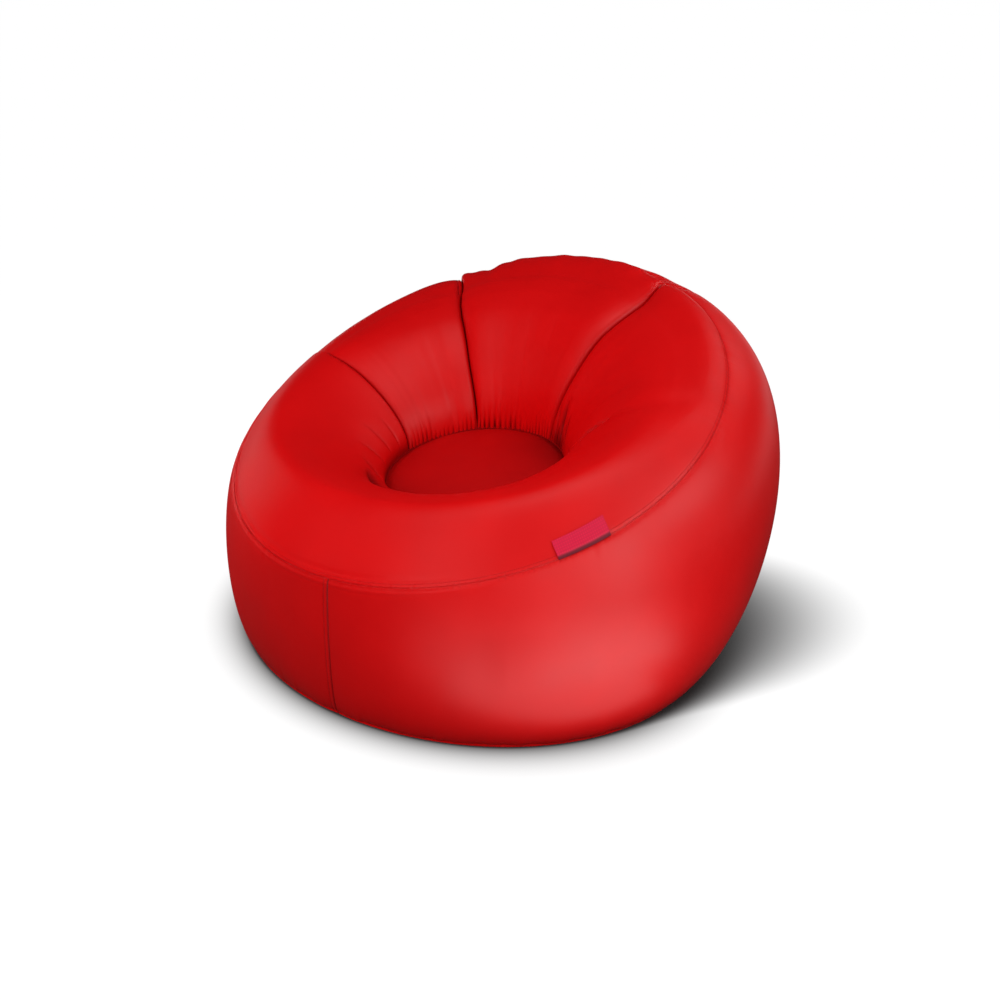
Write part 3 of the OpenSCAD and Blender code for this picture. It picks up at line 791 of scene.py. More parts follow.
@dataclass
class ClothRelief:
    """What the seams and the air pressure do to the cloth, as a height over the plain form."""

    form: ShellForm
    runs: Runs
    seams: tuple[BucketSeam, ...] = (
        BucketSeam(275, 9 * MM, 6 * MM, (0.75, 1.15)),
        BucketSeam(323.5, 13 * MM, 8 * MM, (0.0, 0.05), -2.5, 2.6, 13 * MM, (3.4, 0.8)),
        BucketSeam(386.4, 13 * MM, 8 * MM, (0.0, 0.05), -2.4, -2.7, 9 * MM, (1.0, 6.0)),
        BucketSeam(438.5, 13 * MM, 5 * MM, (1.42, 1.5)),
    )
    folds: tuple[Fold, ...] = (
        Fold((218, 1.68), (201, 1.62), 10 * MM, 9 * MM),
        Fold((206, 1.64), (185, 1.48), 16 * MM, 8 * MM),
        Fold((437.5, 1.71), (438.8, 1.48), 9 * MM, 4.5 * MM),
        Fold((228, 1.66), (214, 1.92), 4 * MM, 5 * MM),
        Fold((388, 1.78), (390, 1.98), 6 * MM, 3 * MM),
        Fold((394, 1.74), (396, 1.99), 10 * MM, 6 * MM),
        Fold((402, 1.80), (403, 1.99), 8 * MM, 5 * MM),
        Fold((240, 1.62), (243, 1.90), 2.5 * MM, 5 * MM),
        Fold((254, 1.60), (256, 1.92), 2.5 * MM, 4 * MM),
        Fold((265, 1.66), (266, 1.94), 2 * MM, 3 * MM),
        Fold((321.2, 0.36), (323.1, 0.84), 7 * MM, 2.5 * MM),
    )
    # Bearing, depth and spread in degrees; the ring's film lies deeper than the deepest dip
    dips: tuple[tuple[float, float, float], ...] = (
        (330.5, 17 * MM, 3.2),
        (326, 7 * MM, 2.5),
        (336, 5 * MM, 2.2),
        (380, 9 * MM, 4),
    )
    # Bearing, spread in degrees, reach and depth of shade of the dark pockets beside the seat
    pockets: tuple[tuple[float, float, float, float], ...] = ((397, 9, 48 * MM, 0.9), (208, 14, 60 * MM, 0.45))
    wall_seams: tuple[float, ...] = (177, 360)
    tuck_spread: float = 5.0
    crease_width: float = 2.6 * MM
    shade_width: float = 1.5 * MM
    pillow: tuple[float, ...] = (0.0, 5 * MM, 12 * MM, 3 * MM, 0.0)
    pillow_edge: float = 13 * MM
    rim_valley: tuple[float, float] = (0.8 * MM, 1.6 * MM)
    rim_valley_width: float = 6 * MM
    # Where the rim, the wall below it, the crown's bumps and the broad seat pleats rise and fall off, as bearings
    rim_front: tuple[tuple[float, float], ...] = ((140, 170), (250, 290))
    wall_front: tuple[tuple[float, float], ...] = ((135, 165), (215, 250))
    bump_stretch: tuple[tuple[float, float], ...] = ((318, 326), (376, 396))
    broad_pleats: tuple[tuple[float, float], ...] = ((326, 331), (352, 362))
    fell_width: float = 9 * MM
    rim_pucker: float = 0.7 * MM
    rim_pucker_pitch: float = 11 * MM
    seat_pleat: float = 3.1 * MM
    seat_pleat_pitch: float = 10 * MM
    seat_pleat_reach: float = 14 * MM
    base_gather: float = 2.0 * MM
    base_gather_pitch: float = 13 * MM
    base_gather_reach: float = 20 * MM
    # Cell sizes of the wide noise that makes the puckers, pleats and gathers uneven
    pucker_drift: float = 38 * MM
    pleat_drift: float = 40 * MM
    gather_drift: float = 60 * MM
    slack: float = 0.8 * MM
    slack_cell: float = 190 * MM

    def rim_puckers(self, a: np.ndarray, gap: np.ndarray) -> np.ndarray:
        """Draws the needle puckers that run off the rim seam.

        Args:
            a: Bearings.
            gap: Distances from the seam.

        Returns:
            Heights.
        """
        turns, count = self.runs.turns("rim", a, self.rim_pucker_pitch)
        wide, wide_count = self.runs.turns("rim", a, self.pucker_drift)
        reach = 11 * MM * (1 + 0.6 * noise_line(wide + 7, wide_count, 5))
        sharp = noise_line(turns, count, 1) + 0.6 * noise_line(turns * 2, count * 2, 2)
        strength = 0.65 + 0.35 * noise_line(wide, wide_count, 3)
        calm = 1 - 0.75 * smooth(300, 325, a) * (1 - smooth(400, 420, a))
        height = self.rim_pucker * sharp * strength * calm * fade(gap, reach)
        broad = noise_line(wide, wide_count, 4) * fade(gap, 26 * MM)
        return height + 0.8 * MM * broad * (1 - fade(gap, 6 * MM))

    def stitch_pits(self, a: np.ndarray, gap: np.ndarray) -> np.ndarray:
        """Draws the row of small pits where the thread pulls the cloth down beside the rim seam."""
        turns, count = self.runs.turns("rim", a, self.rim_pucker_pitch)
        wave = np.clip(np.cos(2 * np.pi * (turns + 0.3 * noise_line(turns / 2, max(3, count // 2), 8))), 0, 1) ** 3
        wave = wave * (0.6 + 0.6 * noise_line(turns, count, 6))
        side = 1 - between(a % 360, (150, 175), (250, 275))
        return -0.7 * MM * wave * bell(gap - 3 * MM, 2.6 * MM) * (0.35 + 0.65 * side)

    def notches(self, a: np.ndarray, gap: np.ndarray) -> np.ndarray:
        """Pulls the rim in where the long bucket seams end at it."""
        height = np.zeros_like(a)
        for seam in self.seams:
            apart = turn_between(a - seam.bearing, seam.drift)
            spread = np.where(apart < 0, seam.notch_spread[0], seam.notch_spread[1])
            height -= seam.notch * fade(np.abs(apart), spread) * bell(gap, 60 * MM)
        for bearing, depth, spread in self.dips:
            apart = turn_between(a, bearing)
            height -= depth * bell(apart, spread) * bell(gap, 70 * MM)
        return height

    def rim_relief(self, a: np.ndarray, gap: np.ndarray, side: Side) -> np.ndarray:
        """Draws the cloth in towards the rim seam, with a felled band on the upper side.

        Args:
            a: Bearings.
            gap: Distances from the seam.
            side: Which side of the seam this is.

        Returns:
            Heights.
        """
        front = between(a % 360, *self.rim_front)
        valley = mix(*self.rim_valley, front)
        height = -valley * bell(gap, self.rim_valley_width) + self.rim_puckers(a, gap)
        height += self.stitch_pits(a, gap) - 0.9 * MM * fade(gap, 1.1 * MM)
        if side is Side.TOP:
            edge = self.fell_width
            height -= 0.8 * MM * bell(gap - edge, MM) * (0.15 + 0.85 * front)
            height -= 1.6 * MM * bell(gap - edge - 5 * MM, 6 * MM) * front
        else:
            front = between(a % 360, *self.wall_front)
            height += 0.45 * MM * front * np.cos(2 * np.pi * gap / (11 * MM)) * fade(gap, 18 * MM)
        return height

    def crown_bumps(self, a: np.ndarray, gap: np.ndarray) -> np.ndarray:
        """Lifts the gathered cloth in soft bumps where the rim is highest."""
        window = between(a, *self.bump_stretch)
        turns, count = self.runs.turns("rim", a, 52 * MM)
        bumps = 0.8 * noise_line(turns * 1.3, max(3, round(count * 1.3)), 11)
        bumps = bumps + 0.5 * np.cos(2 * np.pi * turns) * (0.6 + 0.4 * noise_line(turns / 2, max(3, count // 2), 12))
        near = bell(a - 332, 9)
        return (3.2 + 2.5 * near) * MM * window * bumps * fade(gap, 40 * MM)

    def fold_relief(self, places: np.ndarray) -> np.ndarray:
        """Draws the short folds, which are deepest at their middle."""
        height = np.zeros(places.shape[:-1])
        for fold in self.folds:
            line = np.linspace(0, 1, 25)
            track = self.form.top(mix(fold.start[0], fold.end[0], line), mix(fold.start[1], fold.end[1], line))
            steps = places[..., None, :] - track
            apart = span(steps)
            nearest = apart.min(axis=-1)
            share = line[apart.argmin(axis=-1)]
            height -= fold.depth * fade(nearest, fold.width) * np.sin(np.pi * np.clip(share, 0.06, 0.94)) ** 0.6
        return height

    def panel_relief(self, a: np.ndarray, v: np.ndarray, places: np.ndarray, line_of: Surface) -> np.ndarray:
        """Pulls the bucket panels in at their seams and swells them between.

        Args:
            a: Bearings.
            v: Places across the ring top.
            places: The points of the plain form.
            line_of: Gives the plain form's points, to draw each seam's own line.

        Returns:
            Heights.
        """
        height = np.zeros_like(a)
        across = np.sin(np.radians(90 * np.clip(v, 0, 2)))
        bounds = np.array([-1e9] + [seam.bearing for seam in self.seams] + [1e9])
        which = np.searchsorted(bounds, a, side="right") - 1
        swell = np.array(self.pillow)[np.clip(which, 0, len(self.pillow) - 1)]
        nearest = np.full_like(a, 1.0)
        for seam in self.seams:
            line = line_of(np.full_like(a, seam.bearing), v)
            apart = span(places - line)
            shown = smooth(*seam.shows_from, v) * (1 - 0.7 * smooth(1.93, 2.0, v))
            height -= seam.tuck * bell(a - seam.bearing, self.tuck_spread) * across
            height -= seam.crease * fade(apart, self.crease_width) * shown * smooth(0, 0.1, v)
            nearest = np.minimum(nearest, apart)
        swell = swell * (1 - smooth(402, 432, a)) * (1 - (1 - smooth(0.7, 1.1, v)) * (1 - smooth(280, 306, a)))
        height += swell * across * (1 - fade(nearest, self.pillow_edge))
        return height

    def seam_shade(self, a: np.ndarray, v: np.ndarray, places: np.ndarray, line_of: Surface) -> np.ndarray:
        """Finds how deep in a bucket seam or fold each point lies, for its painted shade.

        Args:
            a: Bearings.
            v: Places across the ring top.
            places: The points of the plain form.
            line_of: Gives the plain form's points.

        Returns:
            Shares from 0 to 1.
        """
        shade = np.zeros_like(a)
        for seam in self.seams:
            apart = span(places - line_of(np.full_like(a, seam.bearing), v))
            shown = smooth(*seam.shows_from, v)
            shade = np.maximum(shade, shown * bell(apart, self.shade_width))
            shade = np.maximum(shade, 0.4 * shown * fade(apart, 5 * MM))
        folds = -self.fold_relief(places)
        return np.maximum(shade, np.clip(folds / (9 * MM), 0, 0.8))

    def seat_shade(self, a: np.ndarray, gap: np.ndarray) -> np.ndarray:
        """Finds the painted shade between the seat pleats, along the seat seam and in the dark pockets beside it."""
        pleats = self.seat_pleats(a, gap)
        seam = 0.85 * bell(gap, 2.2 * MM)
        found = np.maximum(seam, -pleats / (2.8 * MM))
        for bearing, spread, reach, depth in self.pockets:
            found = found + depth * bell(a - bearing, spread) * bell(gap, reach)
        return np.clip(found, 0, 1)

    def seat_pleats(self, a: np.ndarray, gap: np.ndarray) -> np.ndarray:
        """Draws the pleats that are gathered into the seat seam.

        Args:
            a: Bearings.
            gap: Distances from the seat seam.

        Returns:
            Heights.
        """
        turns, count = self.runs.turns("seat", a, self.seat_pleat_pitch)
        phase = turns + 0.3 * noise_line(turns / 2, max(3, count // 2), 21)
        fold = np.sin(2 * np.pi * phase) + 0.3 * np.sin(4 * np.pi * phase + 1.0)
        wide, wide_count = self.runs.turns("seat", a, self.pleat_drift)
        uneven = 1 + 0.5 * noise_line(wide, wide_count, 22) + 0.3 * noise_line(turns, count, 24)
        reach = self.seat_pleat_reach * uneven
        strength = 0.7 + 0.3 * noise_line(turns, count, 23)
        envelope = (1 - fade(gap, 2.5 * MM)) * np.exp(-((gap / reach) ** 1.3))
        height = self.seat_pleat * fold * strength * envelope
        turns, count = self.runs.turns("seat", a, 1.35 * self.seat_pleat_pitch)
        fold = np.sin(2 * np.pi * (turns + 0.2 * noise_line(turns / 2, max(3, count // 2), 25)))
        broad = 1.5 * self.seat_pleat * fold * (1 - fade(gap, 2.5 * MM)) * np.exp(-((gap / (20 * MM)) ** 1.3))
        return mix(height, broad * strength, between(a, *self.broad_pleats))

    def long_wrinkles(self, a: np.ndarray, v: np.ndarray) -> np.ndarray:
        """Draws faint pulls that run down the bucket."""
        turns, count = self.runs.turns("rim", a, 26 * MM)
        shape = noise_field(turns, v * 1.5, count, 31)
        side = between(a, (205, 225), (268, 280))
        streaks = between(a, (278, 290), (316, 324))
        strength = 0.35 + 0.5 * side * smooth(1.3, 1.6, v) + 0.7 * streaks
        return strength * MM * shape * smooth(1.0, 1.35, v) * (1 - smooth(1.88, 2.0, v))

    def tension(self, a: np.ndarray, v: np.ndarray, seed: int) -> np.ndarray:
        """Keeps the skin from being perfectly even."""
        turns, count = self.runs.turns("rim", a, self.slack_cell)
        return self.slack * noise_field(turns, v * 2.5, count, seed)

    def base_gathers(self, a: np.ndarray, gap: np.ndarray) -> np.ndarray:
        """Draws the corded base seam and the short gathers over it."""
        turns, count = self.runs.turns("base", a, self.base_gather_pitch)
        wide, wide_count = self.runs.turns("base", a, self.gather_drift)
        reach = self.base_gather_reach * (1 + 0.5 * noise_line(wide, wide_count, 41))
        shape = noise_line(turns, count, 42) + 0.5 * noise_line(turns * 2, count * 2, 43)
        bead = 1.6 * MM * bell(gap - 1.5 * MM, 1.8 * MM) - 1.4 * MM * bell(gap - 6 * MM, 2.5 * MM)
        return self.base_gather * shape * fade(gap, reach) * smooth(3 * MM, 8 * MM, gap) + bead

    def fell_line(self, apart: np.ndarray) -> np.ndarray:
        """Gives the share of the thin groove at the far edge of a wall seam's fell."""
        return bell(apart - 8.8 * MM, 0.9 * MM)

    def wall_seam_relief(self, a: np.ndarray, places: np.ndarray) -> np.ndarray:
        """Draws the upright wall seams: a shallow groove with a stitched fell beside it."""
        height = np.zeros_like(a)
        for bearing in self.wall_seams:
            radius = span(places[..., :2])
            apart = np.radians(turn_between(a, bearing)) * radius
            height -= MM * fade(np.abs(apart), 1.2 * MM)
            height += 0.5 * MM * smooth(-0.3 * MM, 0.7 * MM, apart) * (1 - smooth(8 * MM, self.fell_width, apart))
            height -= 0.5 * MM * self.fell_line(apart)
            height -= 1.2 * MM * bell(apart, 16 * MM)
        return height


@dataclass
class Skin:
    """The dressed surface of the shell: the plain form with its relief."""

    form: ShellForm
    relief: ClothRelief
    seam_blend: float = 12 * MM
    seat_drop: float = 5 * MM
    seat_drop_reach: float = 9 * MM
    crown_round: float = 0.32
    crown_spread: float = 0.45
    wall_drift: float = 2.2
    drift_spread: float = 22

    def wall_drifted(self, a: np.ndarray, v: np.ndarray) -> np.ndarray:
        """Lets the front wall seam drift along the base, so that it hangs upright."""
        apart = turn_between(a, self.relief.wall_seams[0])
        return a + self.wall_drift * (1 - np.clip(v, 0, 1)) * bell(apart, self.drift_spread)

    def drifted(self, a: np.ndarray, v: np.ndarray) -> np.ndarray:
        """Lets the ends of the long bucket seams drift along the rim and the seat."""
        shift = np.zeros_like(a)
        for seam in self.relief.seams:
            way = seam.drift * (1 - smooth(0, 0.7, v)) + seam.foot_drift * smooth(1.55, 2.0, v)
            shift += way * bell(a - seam.bearing, self.drift_spread)
        return a + shift

    def plain(self, side: Side, a: np.ndarray, v: np.ndarray) -> np.ndarray:
        """Gives the plain form, rounded where the ring top turns over its crown."""
        if side is Side.WALL:
            return self.form.wall(self.wall_drifted(a, v), v)
        step = self.crown_round * bell(v - 1, self.crown_spread) * self.form.back_share(a)
        a = self.drifted(a, v)
        return 0.5 * self.form.top(a, v) + 0.25 * (self.form.top(a, v - step) + self.form.top(a, v + step))

    def plain_top(self, a: np.ndarray, v: np.ndarray) -> np.ndarray:
        """Gives the plain form of the ring top."""
        return self.plain(Side.TOP, a, v)

    def from_rim(
        self, side: Side, a: np.ndarray, v: np.ndarray, places: np.ndarray
    ) -> tuple[np.ndarray, np.ndarray]:
        """Gives the bearing on the rim that belongs to each point, and the point's distance from there."""
        at = a if side is Side.WALL else self.drifted(a, v)
        return at, span(places - self.form.rim(at))

    def rim_out(self, a: np.ndarray) -> np.ndarray:
        """Gives the mean outward direction of the two sheets that meet at the rim."""
        top = self.form.outward(self.form.top, a, np.full_like(a, 0.02))
        wall = self.form.outward(self.form.wall, a, np.full_like(a, 0.98))
        return unit(top + wall)

    def height(self, side: Side, a: np.ndarray, v: np.ndarray, places: np.ndarray) -> np.ndarray:
        """Adds up the relief.

        Args:
            side: Which side of the rim seam.
            a: Bearings.
            v: Places across.
            places: The points of the plain form.

        Returns:
            Heights over the plain form.
        """
        at, rim_gap = self.from_rim(side, a, v, places)
        relief = self.relief
        height = relief.rim_relief(at, rim_gap, side) + relief.crown_bumps(at, rim_gap) + relief.notches(at, rim_gap)
        if side is Side.WALL:
            base_gap = span(places - self.form.base(self.wall_drifted(a, v)))
            height += relief.base_gathers(a, base_gap) + relief.wall_seam_relief(a, places)
            return height + relief.tension(a, v, 51) * smooth(0, 0.15, v) * (1 - smooth(0.85, 1, v))
        seat_gap = span(places - self.form.seat(a))
        panels = relief.panel_relief(a, v, places, self.plain_top)
        height += panels + relief.seat_pleats(a, seat_gap) + relief.long_wrinkles(a, v)
        height += relief.fold_relief(places) * smooth(0, 8 * MM, seat_gap)
        return height + relief.tension(a, v, 52) * smooth(0, 0.2, v) * (1 - smooth(1.8, 2, v))

    def shade(self, side: Side, a: np.ndarray, v: np.ndarray) -> np.ndarray:
        """Gives the share of painted shade in the seams, folds, pleats and pockets."""
        places = self.plain(side, a, v)
        at, rim_gap = self.from_rim(side, a, v, places)
        # Painted shade in the stitch pits and along the rim seam
        found = np.clip(-self.relief.stitch_pits(at, rim_gap) / (3.2 * MM), 0, 1)
        found = np.maximum(found, 0.22 * bell(rim_gap, MM))
        if side is Side.WALL:
            # Painted shade in the wall seams' grooves and along the edge of their fells
            for bearing in self.relief.wall_seams:
                apart = np.radians(turn_between(a, bearing)) * span(places[..., :2])
                found = np.maximum(found, 0.75 * bell(apart, 1.3 * MM))
                found = np.maximum(found, 0.3 * self.relief.fell_line(apart))
            return found
        seat_gap = span(places - self.form.seat(a))
        found = np.maximum(found, self.relief.seam_shade(a, v, places, self.plain_top))
        return np.maximum(found, self.relief.seat_shade(a, seat_gap))

    def point(self, side: Side, a: np.ndarray, v: np.ndarray) -> np.ndarray:
        """Gives points of the dressed surface."""
        places = self.plain(side, a, v)
        at, rim_gap = self.from_rim(side, a, v, places)
        surface = self.form.wall if side is Side.WALL else self.form.top
        share = bell(rim_gap, self.seam_blend)[..., None]
        plain_out = self.form.outward(surface, self.wall_drifted(a, v) if side is Side.WALL else a, v)
        if side is Side.TOP:
            before, after = (self.form.outward(surface, a, v + step) for step in (-0.15, 0.15))
            plain_out = unit(plain_out + before + after)
        direction = unit(mix(plain_out, self.rim_out(at), share))
        points = places + self.height(side, a, v, places)[..., None] * direction
        if side is Side.TOP:
            seat_gap = span(places - self.form.seat(a))
            points[..., 2] -= self.seat_drop * bell(seat_gap, self.seat_drop_reach)
        else:
            points[..., 2] = np.maximum(points[..., 2], 0)
        return points

    def across_at(self, side: Side, a: np.ndarray, gap: float) -> np.ndarray:
        """Finds the place across at a wished distance from the rim seam.

        Args:
            side: Which side of the rim seam.
            a: Bearings.
            gap: Wished distance.

        Returns:
            Places across.
        """
        tries = np.linspace(0, 0.5, 60)
        if side is Side.WALL:
            tries = 1 - tries
        grid = self.plain(side, a[:, None] + 0 * tries, 0 * a[:, None] + tries)
        gaps = span(grid - self.form.rim(a)[:, None])
        return np.array([np.interp(gap, row, tries) for row in gaps])


# ---------------------------------------------------------------- shell panels
CLOTH = 1.2 * MM


@dataclass
class ShellPanel:
    """One cut piece of the shell, as a closed sheet of cloth."""

    name: str
    node: str
    first: float
    last: float
    side: Side
    pitch: float = 0.6

    def rows(self) -> tuple[np.ndarray, np.ndarray]:
        """Spreads the rows, closest together at the seams."""
        if self.side is Side.WALL:
            return graded_rows([(0.0, 8, 3), (0.03, 8, 3), (0.10, 44, 1), (0.90, 8, 3), (0.955, 12, 3)], 1.0)
        return graded_rows(
            [(0.0, 14, 3), (0.075, 8, 3), (0.18, 20, 1), (0.9, 24, 1), (1.6, 12, 1), (1.84, 18, 3)], 2.0
        )

    def build(self, skin: Skin) -> bpy.types.Object:
        """Makes the panel's mesh and gives it the cloth's thickness."""
        grid = ClothGrid(self.first, self.last, self.pitch, *self.rows())
        a, v = grid.points()
        points = skin.point(self.side, a, v)
        length = 0.5 if self.side is Side.WALL else 0.4
        uv = np.stack([np.radians(a) * 0.5, v * length], axis=-1)
        piece = make_mesh(self.name, points, grid.faces(), uv)
        mark_painted_shade(piece, skin.shade(self.side, a, v))
        thicken(piece, CLOTH)
        return piece

    def cut(self, skin: Skin) -> tuple[tuple[float, float], float]:
        """Works out the width and length of the flat cut, and its area, from the plain form."""
        end = 1 if self.side is Side.WALL else 2
        a, v = np.meshgrid(np.linspace(self.first, self.last, 120), np.linspace(0, end, 60), indexing="ij")
        p = skin.plain(self.side, a, v)
        along = span(np.diff(p, axis=0))
        across = span(np.diff(p, axis=1))
        width, length = float(along.sum(axis=0).max()), float(across.sum(axis=1).max())
        area = float((along[:, :-1] * across[:-1, :]).sum())
        return (round(width, 3), round(length, 3)), round(min(area, width * length), 4)


@dataclass
class ShellPanels:
    """The six sewn panels of the wall and the ring, with their seams."""

    skin: Skin
    front_seam: float = 177

    def panels(self) -> list[ShellPanel]:
        """Lists the panels between their seams."""
        side, back_left, back_right, right = (seam.bearing for seam in self.skin.relief.seams)
        front, back = self.front_seam, 360
        return [
            ShellPanel("wall_left", "wall_panel_left", front, back, Side.WALL),
            ShellPanel("wall_right", "wall_panel_right", back, front + 360, Side.WALL),
            ShellPanel("ring_front", "top_front_panel", right, side + 360, Side.TOP),
            ShellPanel("ring_back_left", "back_left_panel", side, back_left, Side.TOP),
            ShellPanel("ring_back_centre", "back_centre_panel", back_left, back_right, Side.TOP),
            ShellPanel("ring_back_right", "back_right_panel", back_right, right, Side.TOP),
        ]

    def build(self, wardrobe: "Wardrobe") -> None:
        """Builds and dresses every panel and attaches it to the shell."""
        for panel in self.panels():
            piece = panel.build(self.skin)
            wardrobe.dress(piece, Finish.SHELL)
            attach(piece, "shell")
            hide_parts(panel.node)
            flat, area = panel.cut(self.skin)
            LOG.info("%s: %d faces, cut %s m, %.3f m2", panel.name, len(piece.data.polygons), flat, area)


# ---------------------------------------------------------------- stitching
@dataclass
class StitchRow:
    """A row of lockstitches that lies on the cloth."""

    pitch: float = 3.8 * MM
    length: float = 2.9 * MM
    radius: float = 0.42 * MM

    def mesh(self, path: np.ndarray, out: np.ndarray, closed: bool) -> tuple[np.ndarray, list[list[int]]]:
        """Lays stitches along a path.

        Args:
            path: Points on the cloth, closely spaced.
            out: Outward directions there.
            closed: Whether the path comes round to its start.

        Returns:
            Points and faces of all the stitches.
        """
        run = closed_run(path)
        count = max(2, int(run[-1] / self.pitch))
        starts = (np.arange(count) + (0.0 if closed else 0.25)) * run[-1] / count
        points, faces = [], []
        stations = np.array([-0.5, -0.36, 0.36, 0.5])
        lifts = np.array([-0.4, 0.55, 0.55, -0.4]) * self.radius
        sizes = np.array([0.45, 1.0, 1.0, 0.45]) * self.radius
        at = starts[:, None] + stations * self.length

        def along(values: np.ndarray, where: np.ndarray) -> np.ndarray:
            """Reads a value along the path."""
            return np.stack([np.interp(where, run, values[:, k]) for k in range(3)], axis=-1)

        centre, up = along(path, at), unit(along(out, at))
        forward = unit(along(path, at + 0.2 * MM) - along(path, at - 0.2 * MM))
        side = unit(np.cross(forward, up))
        centre = centre + lifts[:, None] * up
        for k, (across, above) in enumerate(((1, 0), (0, 1), (-1, 0), (0, -1))):
            points.append(centre + sizes[:, None] * (across * side + above * up))
        grid = np.stack(points, axis=2)
        for n in range(count):
            base = n * 16
            for s in range(3):
                for k in range(4):
                    q = (k + 1) % 4
                    faces.append([base + s * 4 + k, base + s * 4 + q, base + s * 4 + 4 + q, base + s * 4 + 4 + k])
            faces.append([base + k for k in (3, 2, 1, 0)])
            faces.append([base + 12 + k for k in range(4)])
        return grid.reshape(-1, 3), faces


@dataclass
class Stitching:
    """All visible rows of thread on the shell."""

    skin: Skin
    row: StitchRow = field(default_factory=StitchRow)
    rim_rows: tuple[float, ...] = (1.9 * MM, 7.6 * MM)
    wall_rows: tuple[float, ...] = (2.0 * MM, 7.2 * MM)

    def normals(self, side: Side, a: np.ndarray, v: np.ndarray) -> np.ndarray:
        """Gives the dressed surface's outward directions."""
        return self.skin.form.outward(self.skin.form.wall if side is Side.WALL else self.skin.form.top, a, v)

    def rows(self) -> dict[str, list[tuple[np.ndarray, np.ndarray, bool]]]:
        """Lists the paths of each group of rows."""
        round_trip = np.linspace(180, 540, 3601)
        found: dict[str, list[tuple[np.ndarray, np.ndarray, bool]]] = {"rim_stitching": [], "wall_stitching": []}
        for gap in self.rim_rows:
            v = self.skin.across_at(Side.TOP, round_trip, gap)
            path = self.skin.point(Side.TOP, round_trip, v)
            found["rim_stitching"].append((path, self.normals(Side.TOP, round_trip, v), True))
        for bearing in self.skin.relief.wall_seams:
            t = np.linspace(0.015, 0.985, 900)
            for shift in self.wall_rows:
                radius = span(self.skin.form.wall(np.full_like(t, bearing), t)[:, :2])
                a = bearing + np.degrees(shift / radius)
                path = self.skin.point(Side.WALL, a, t)
                found["wall_stitching"].append((path, self.normals(Side.WALL, a, t), False))
        return found

    def build(self, wardrobe: "Wardrobe") -> None:
        """Builds one piece for each group of rows."""
        for name, rows in self.rows().items():
            points, faces, start = [], [], 0
            for path, out, closed in rows:
                more, made = self.row.mesh(path, out, closed)
                points.append(more)
                faces.extend([[p + start for p in face] for face in made])
                start += len(more)
            every = np.concatenate(points)
            piece = make_mesh(name, every, faces, every[:, :2])
            wardrobe.dress(piece, Finish.THREAD)
            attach(piece, "shell")
            LOG.info("%s: %d faces", name, len(faces))


# ---------------------------------------------------------------- seat and base
@dataclass
class RoundPanel:
    """A round panel of cloth, sewn in along its edge."""

    columns: int = 480
    rings: int = 44

    def grid(self) -> tuple[np.ndarray, np.ndarray]:
        """Gives the bearing and the share of the radius of every point but the middle."""
        a = np.linspace(180, 540, self.columns + 1)[:-1]
        share = np.linspace(0, 1, self.rings + 1)[1:]
        share = 1 - (1 - share) ** 1.5
        return np.meshgrid(a, share, indexing="ij")

    def piece(self, name: str, points: np.ndarray, middle: np.ndarray, shade: np.ndarray) -> bpy.types.Object:
        """Makes the panel from its grid of points, with its share of painted shade."""
        every = np.concatenate([points.reshape(-1, 3), middle[None]])
        made = make_mesh(name, every, disc_faces(self.columns, self.rings), every[:, :2])
        mark_painted_shade(made, np.append(shade.ravel(), 0.0))
        thicken(made, CLOTH)
        return made


@dataclass
class Seat(RoundPanel):
    """The seat panel, domed by the air under it and gathered into its seam."""

    sink: float = 5 * MM
    edge_roll: float = 10 * MM
    pucker: float = 1.0 * MM

    def shade(self, a: np.ndarray, gap: np.ndarray) -> np.ndarray:
        """Finds the painted shade: how much light the bucket's deep side keeps from each point, and a band along the
        seat seam.
        """
        deep = bell(a - 400, 42) * bell(gap, 85 * MM)
        return np.clip(0.55 * deep + 0.35 * fade(gap, 9 * MM), 0, 1)

    def build(self, skin: Skin, wardrobe: "Wardrobe") -> None:
        form = skin.form
        a, share = self.grid()
        edge = form.seat(a)
        middle = np.array([0, form.seat_y, form.seat_z])
        points = middle + (edge - middle) * share[..., None]
        points[..., 2] += form.seat_dome * (1 - share**2)
        gap = (1 - share) * form.seat_half[0]
        turns, count = skin.relief.runs.turns("seat", a, skin.relief.seat_pleat_pitch)
        folds = noise_line(turns, count, 61) + 0.5 * noise_line(turns * 2, count * 2, 62)
        points[..., 2] -= self.sink * bell(gap, self.edge_roll)
        points[..., 2] += self.pucker * folds * fade(gap, 13 * MM) * (1 - fade(gap, 2 * MM))
        swirl, cells = skin.relief.runs.turns("seat", a, 120 * MM)
        points[..., 2] += 0.8 * MM * noise_field(swirl, share * 3, cells, 63) * smooth(0, 0.2, share) * (1 - share)
        piece = self.piece("seat_disc", points, middle + [0, 0, form.seat_dome], self.shade(a, gap))
        wardrobe.dress(piece, Finish.SEAT)
        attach(piece, "shell")
        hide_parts("seat_panel")


@dataclass
class Base(RoundPanel):
    """The flat base panel of tougher cloth, on the floor."""

    inset: float = 1 * MM
    lift: float = 1.2 * MM

    def build(self, skin: Skin, wardrobe: "Wardrobe") -> None:
        a, share = self.grid()
        edge = skin.form.base(a)
        edge[..., :2] *= (1 - self.inset / span(edge[..., :2]))[..., None]
        points = edge * share[..., None]
        points[..., 2] = CLOTH
        gap = (1 - share) * skin.form.base_half[1]
        turns, count = skin.relief.runs.turns("base", a, 30 * MM)
        lift = self.lift * (noise_line(turns, count, 71) + 1) / 2
        points[..., 2] += lift * fade(gap, 30 * MM) * smooth(0, 2 * MM, gap)
        # The base is painted darker along its sewn edge: painted shade
        piece = self.piece("base_disc", points, np.array([0, 0, CLOTH]), 0.4 * fade(gap, 8 * MM))
        wardrobe.dress(piece, Finish.BASE)
        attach(piece, "shell")
        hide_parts("base_panel")


